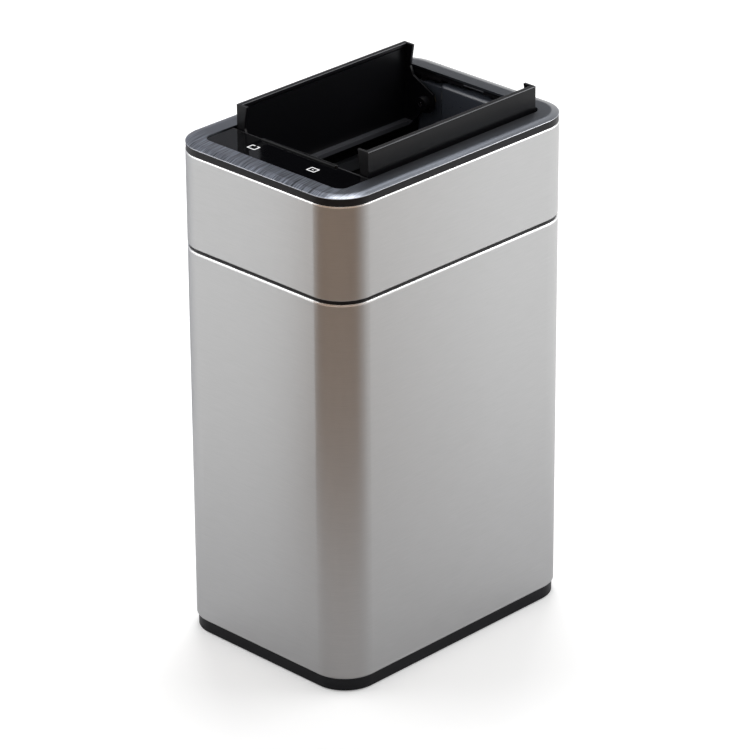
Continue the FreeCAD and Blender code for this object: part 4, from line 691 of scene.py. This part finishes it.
def draw_frame(mesh, middle):
    """Draw the raised frame of a key mark."""
    shapes = [(0, MARK_CORNER, 0), (0, MARK_CORNER, INK),
              (MARK_LINE, MARK_CORNER / 4, INK), (MARK_LINE, MARK_CORNER / 4, 0)]
    outlines = [draw_outline(mesh, MARK_HALF_X - inset, MARK_HALF_Y - inset, corner,
                             panel_high.z + lift, middle) for inset, corner, lift in shapes]
    join_outlines(mesh, outlines, closed=True)


mesh = bmesh.new()
left_x, left_y = MARK_PLACES["left"]
draw_frame(mesh, (left_x, left_y))
for cut_x in (left_x - MARK_GAP_HALF, left_x + MARK_GAP_HALF):
    bmesh.ops.bisect_plane(mesh, geom=[*mesh.verts, *mesh.edges, *mesh.faces], dist=CUT_SNAP,
                           plane_co=(cut_x, left_y, 0), plane_no=(1, 0, 0))
gap = [face for face in mesh.faces if abs(face.calc_center_median().x - left_x) < MARK_GAP_HALF
       and face.calc_center_median().y > left_y]
bmesh.ops.delete(mesh, geom=gap, context="FACES")
bmesh.ops.holes_fill(mesh, edges=[edge for edge in mesh.edges if edge.is_boundary], sides=0)
make_piece(mesh, "left_key_mark", "lid", [print_white])

mesh = bmesh.new()
right_x, right_y = MARK_PLACES["right"]
draw_frame(mesh, (right_x, right_y))
block = bmesh.ops.create_cube(mesh, size=1.0)["verts"]
bmesh.ops.scale(mesh, vec=(*MARK_BLOCK, INK), verts=block)
bmesh.ops.translate(mesh, vec=(right_x, right_y, panel_high.z + INK / 2), verts=block)
make_piece(mesh, "right_key_mark", "lid", [print_white])

# %% [markdown]
# ## The studio
#
# The bin stands on a sheet of white paper, much larger than the camera sees, in the
# middle of a white studio. Metal mirrors its surroundings, so the studio matters as
# much as the metal: the world is plain white for the camera and for reflections, and
# weaker for the light that falls on the paper, because a large soft lamp overhead
# adds the rest and gives the shadow its direction. The paper glows a little in the
# same rays, so that it stays nearly white away from the shadow.
#
# The Standard view shows each colour as it is written. Blender's usual view would
# turn white paper grey.

# %% Paper floor and white world
FLOOR_HALF = 12.0
PAPER_LIFT = 0.25
WORLD_FILL = 0.5
bpy.context.scene.view_settings.view_transform = "Standard"


def seen_rays(tree):
    """Return 1 for what the camera, a mirror or glass sees, and 0 for light that falls on things."""
    ray = add_node(tree, "LightPath")
    seen = ray.outputs["Is Camera Ray"]
    for kind in ("Is Glossy Ray", "Is Transmission Ray"):
        seen = add_node(tree, "Math", links={0: seen, 1: ray.outputs[kind]}, operation="MAXIMUM").outputs[0]
    return seen


mesh = bmesh.new()
bmesh.ops.create_grid(mesh, x_segments=1, y_segments=1, size=FLOOR_HALF)
paper, tree, shader = start_finish("white_paper", "#fbfbfb", {"Roughness": 0.9, "Specular IOR Level": 0.1})
lift = add_node(tree, "Math", {1: PAPER_LIFT}, {0: seen_rays(tree)}, operation="MULTIPLY")
shader.inputs["Emission Color"].default_value = linear("#ffffff")
tree.links.new(lift.outputs[0], shader.inputs["Emission Strength"])
add_object(mesh, "floor", [paper])

world = bpy.data.worlds.new("studio")
world.use_nodes = True
bpy.context.scene.world = world
tree = world.node_tree
strength = add_node(tree, "MapRange", {"To Min": WORLD_FILL, "To Max": 1.0}, {"Value": seen_rays(tree)})
tree.links.new(strength.outputs["Result"], tree.nodes["Background"].inputs["Strength"])
tree.nodes["Background"].inputs["Color"].default_value = linear("#ffffff")
print("floor is", 2 * FLOOR_HALF, "m wide, world lights at", WORLD_FILL, "and looks white")

# %% [markdown]
# Three soft lamps light the bin: a strong one overhead for the shadow, and a weak one
# on each side that draws the bright line along the hems. They are placed like the
# camera, by an angle round the bin, a distance and a height. A lamp's power is spread
# over its area, so the helper takes a brightness and works out the watts.

# %% Soft lamps
def soft_lamp(name, turn, distance, height, width, tall, level):
    """Area lamp of a given brightness that faces the middle of the bin."""
    lamp = bpy.data.objects.new(name, bpy.data.lights.new(name, "AREA"))
    lamp.data.shape = "RECTANGLE"
    lamp.data.size = width
    lamp.data.size_y = tall
    lamp.data.energy = level * math.pi * width * tall
    away = direction(math.radians(turn), 0) * distance
    lamp.location = (away.x, away.y, height)
    lamp.rotation_euler = (lamp.location - Vector((0, 0, AIM_HEIGHT))).to_track_quat("Z", "Y").to_euler()
    bpy.context.collection.objects.link(lamp)
    print(name, "gives", round(lamp.data.energy, 1), "watts")


soft_lamp("overhead_lamp", turn=224, distance=1.5, height=3.6, width=1.16, tall=1.16, level=10.6)
soft_lamp("left_lamp", turn=-58, distance=2.4, height=2.1, width=2.4, tall=1.8, level=1.9)
soft_lamp("right_lamp", turn=148, distance=2.4, height=2.1, width=2.4, tall=1.8, level=2.45)

# %% [markdown]
# ## What the metal mirrors
#
# Steel in an all-white studio looks flat, as if it were painted. So dark things are
# put where the steel mirrors them. Here they are hidden from the camera and from the
# light itself, and only reflections see them, so they change nothing else.
#
# Two curved screens of cloth stand beside the front corners. A brown one draws the
# dark upright band on the corner near the camera, and a pale grey one draws the edge
# of the other corner. Each is one upright edge, spun round the middle of the corner's
# curve. Its cloth thins out along Y until nothing is left, so the band ends softly:
# a range over Y drives the shader's alpha.

# %% Screens beside the front corners
SCREEN_RADIUS = 0.36
SCREEN_FOOT, SCREEN_HEIGHT = 0.08, 1.6
SCREEN_STEPS = 48


def mirror_prop(mesh, name, finish):
    """Turn a bmesh into a prop that only reflections see."""
    prop = add_object(mesh, name, [finish])
    prop.visible_camera = False
    prop.visible_diffuse = False
    prop.visible_shadow = False
    prop.visible_transmission = False
    print(name, "is seen in reflections alone")


def stand_screen(name, middle, turns, thin_span, colour):
    """Stand a curved screen between two angles round a corner, that thins out along Y."""
    start, end = (math.radians(turn) for turn in turns)
    mesh = bmesh.new()
    foot = middle + direction(start, 0) * SCREEN_RADIUS + Vector((0, 0, SCREEN_FOOT))
    edge = mesh.edges.new([mesh.verts.new(foot), mesh.verts.new(foot + Vector((0, 0, SCREEN_HEIGHT)))])
    bmesh.ops.spin(mesh, geom=[edge, *edge.verts], cent=middle, axis=(0, 0, 1), angle=end - start,
                   steps=SCREEN_STEPS, use_merge=False)
    cloth, tree, shader = start_finish(name + "_cloth", colour, {"Roughness": 1.0, "Specular IOR Level": 0.0})
    dense, gone = (middle.y + reach for reach in thin_span)
    alpha = add_node(tree, "MapRange", {"From Min": dense, "From Max": gone, "To Min": 1.0, "To Max": 0.0},
                     {"Value": read_place(tree, "Y")})
    tree.links.new(alpha.outputs["Result"], shader.inputs["Alpha"])
    mirror_prop(mesh, name, cloth)


steel_low, steel_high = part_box("outer_body")
near_corner = Vector((steel_high.x - OUTER_RADIUS, steel_low.y + OUTER_RADIUS, 0))
left_corner = Vector((steel_low.x + OUTER_RADIUS, steel_low.y + OUTER_RADIUS, 0))
stand_screen("brown_screen", near_corner, turns=(-38, 150), thin_span=(-0.04, 0.33), colour="#ae9886")
stand_screen("grey_screen", left_corner, turns=(-140, -50), thin_span=(0.2, -0.25), colour="#d4d6de")

# %% [markdown]
# A round mat of pale felt lies under the bin. The lower a point of the steel is, the
# closer by is the floor that it mirrors, so the mat makes the steel darker towards
# its foot. The felt fades out to white with the distance from the middle, so no edge
# of it shows.

# %% Grey mat round the bin
MAT_RADIUS, MAT_DARK_RADIUS = 1.1, 0.1
MAT_LIFT = 1 * MM
MAT_STEPS = 64
mesh = bmesh.new()
bmesh.ops.create_circle(mesh, cap_ends=True, radius=MAT_RADIUS, segments=MAT_STEPS)
bmesh.ops.translate(mesh, vec=(0, 0, MAT_LIFT), verts=mesh.verts)
felt, tree, shader = start_finish("grey_felt", "#dadadc", {"Roughness": 1.0, "Specular IOR Level": 0.0})
place = add_node(tree, "TexCoord")
reach = add_node(tree, "VectorMath", links={0: place.outputs["Object"]}, operation="LENGTH")
fade = add_node(tree, "MapRange", {"From Min": MAT_DARK_RADIUS, "From Max": MAT_RADIUS},
                {"Value": reach.outputs["Value"]})
vary_colour(tree, shader, fade.outputs["Result"], "#dadadc", "#ffffff")
mirror_prop(mesh, "grey_mat", felt)

# %% [markdown]
# The last prop is a black card above and behind the bin. It lies where a line of
# sight goes after it bounces off the level sensor panel, so the panel stays black
# instead of mirroring the white studio.

# %% Dark card over the glossy panel
CARD_DISTANCE, CARD_WIDTH, CARD_TALL = 1.5, 0.9, 0.55
card_way = direction(CAMERA_TURN + math.pi, CAMERA_RISE)
card_middle = (panel_low + panel_high) / 2 + card_way * CARD_DISTANCE
mesh = bmesh.new()
bmesh.ops.create_grid(mesh, x_segments=1, y_segments=1, size=0.5)
bmesh.ops.scale(mesh, vec=(CARD_WIDTH, CARD_TALL, 1), verts=mesh.verts)
bmesh.ops.rotate(mesh, cent=(0, 0, 0), matrix=card_way.to_track_quat("Z", "Y").to_matrix(), verts=mesh.verts)
bmesh.ops.translate(mesh, vec=card_middle, verts=mesh.verts)
card, _, _ = start_finish("black_card", "#0c0c0d", {"Roughness": 1.0, "Specular IOR Level": 0.0})
mirror_prop(mesh, "dark_card", card)
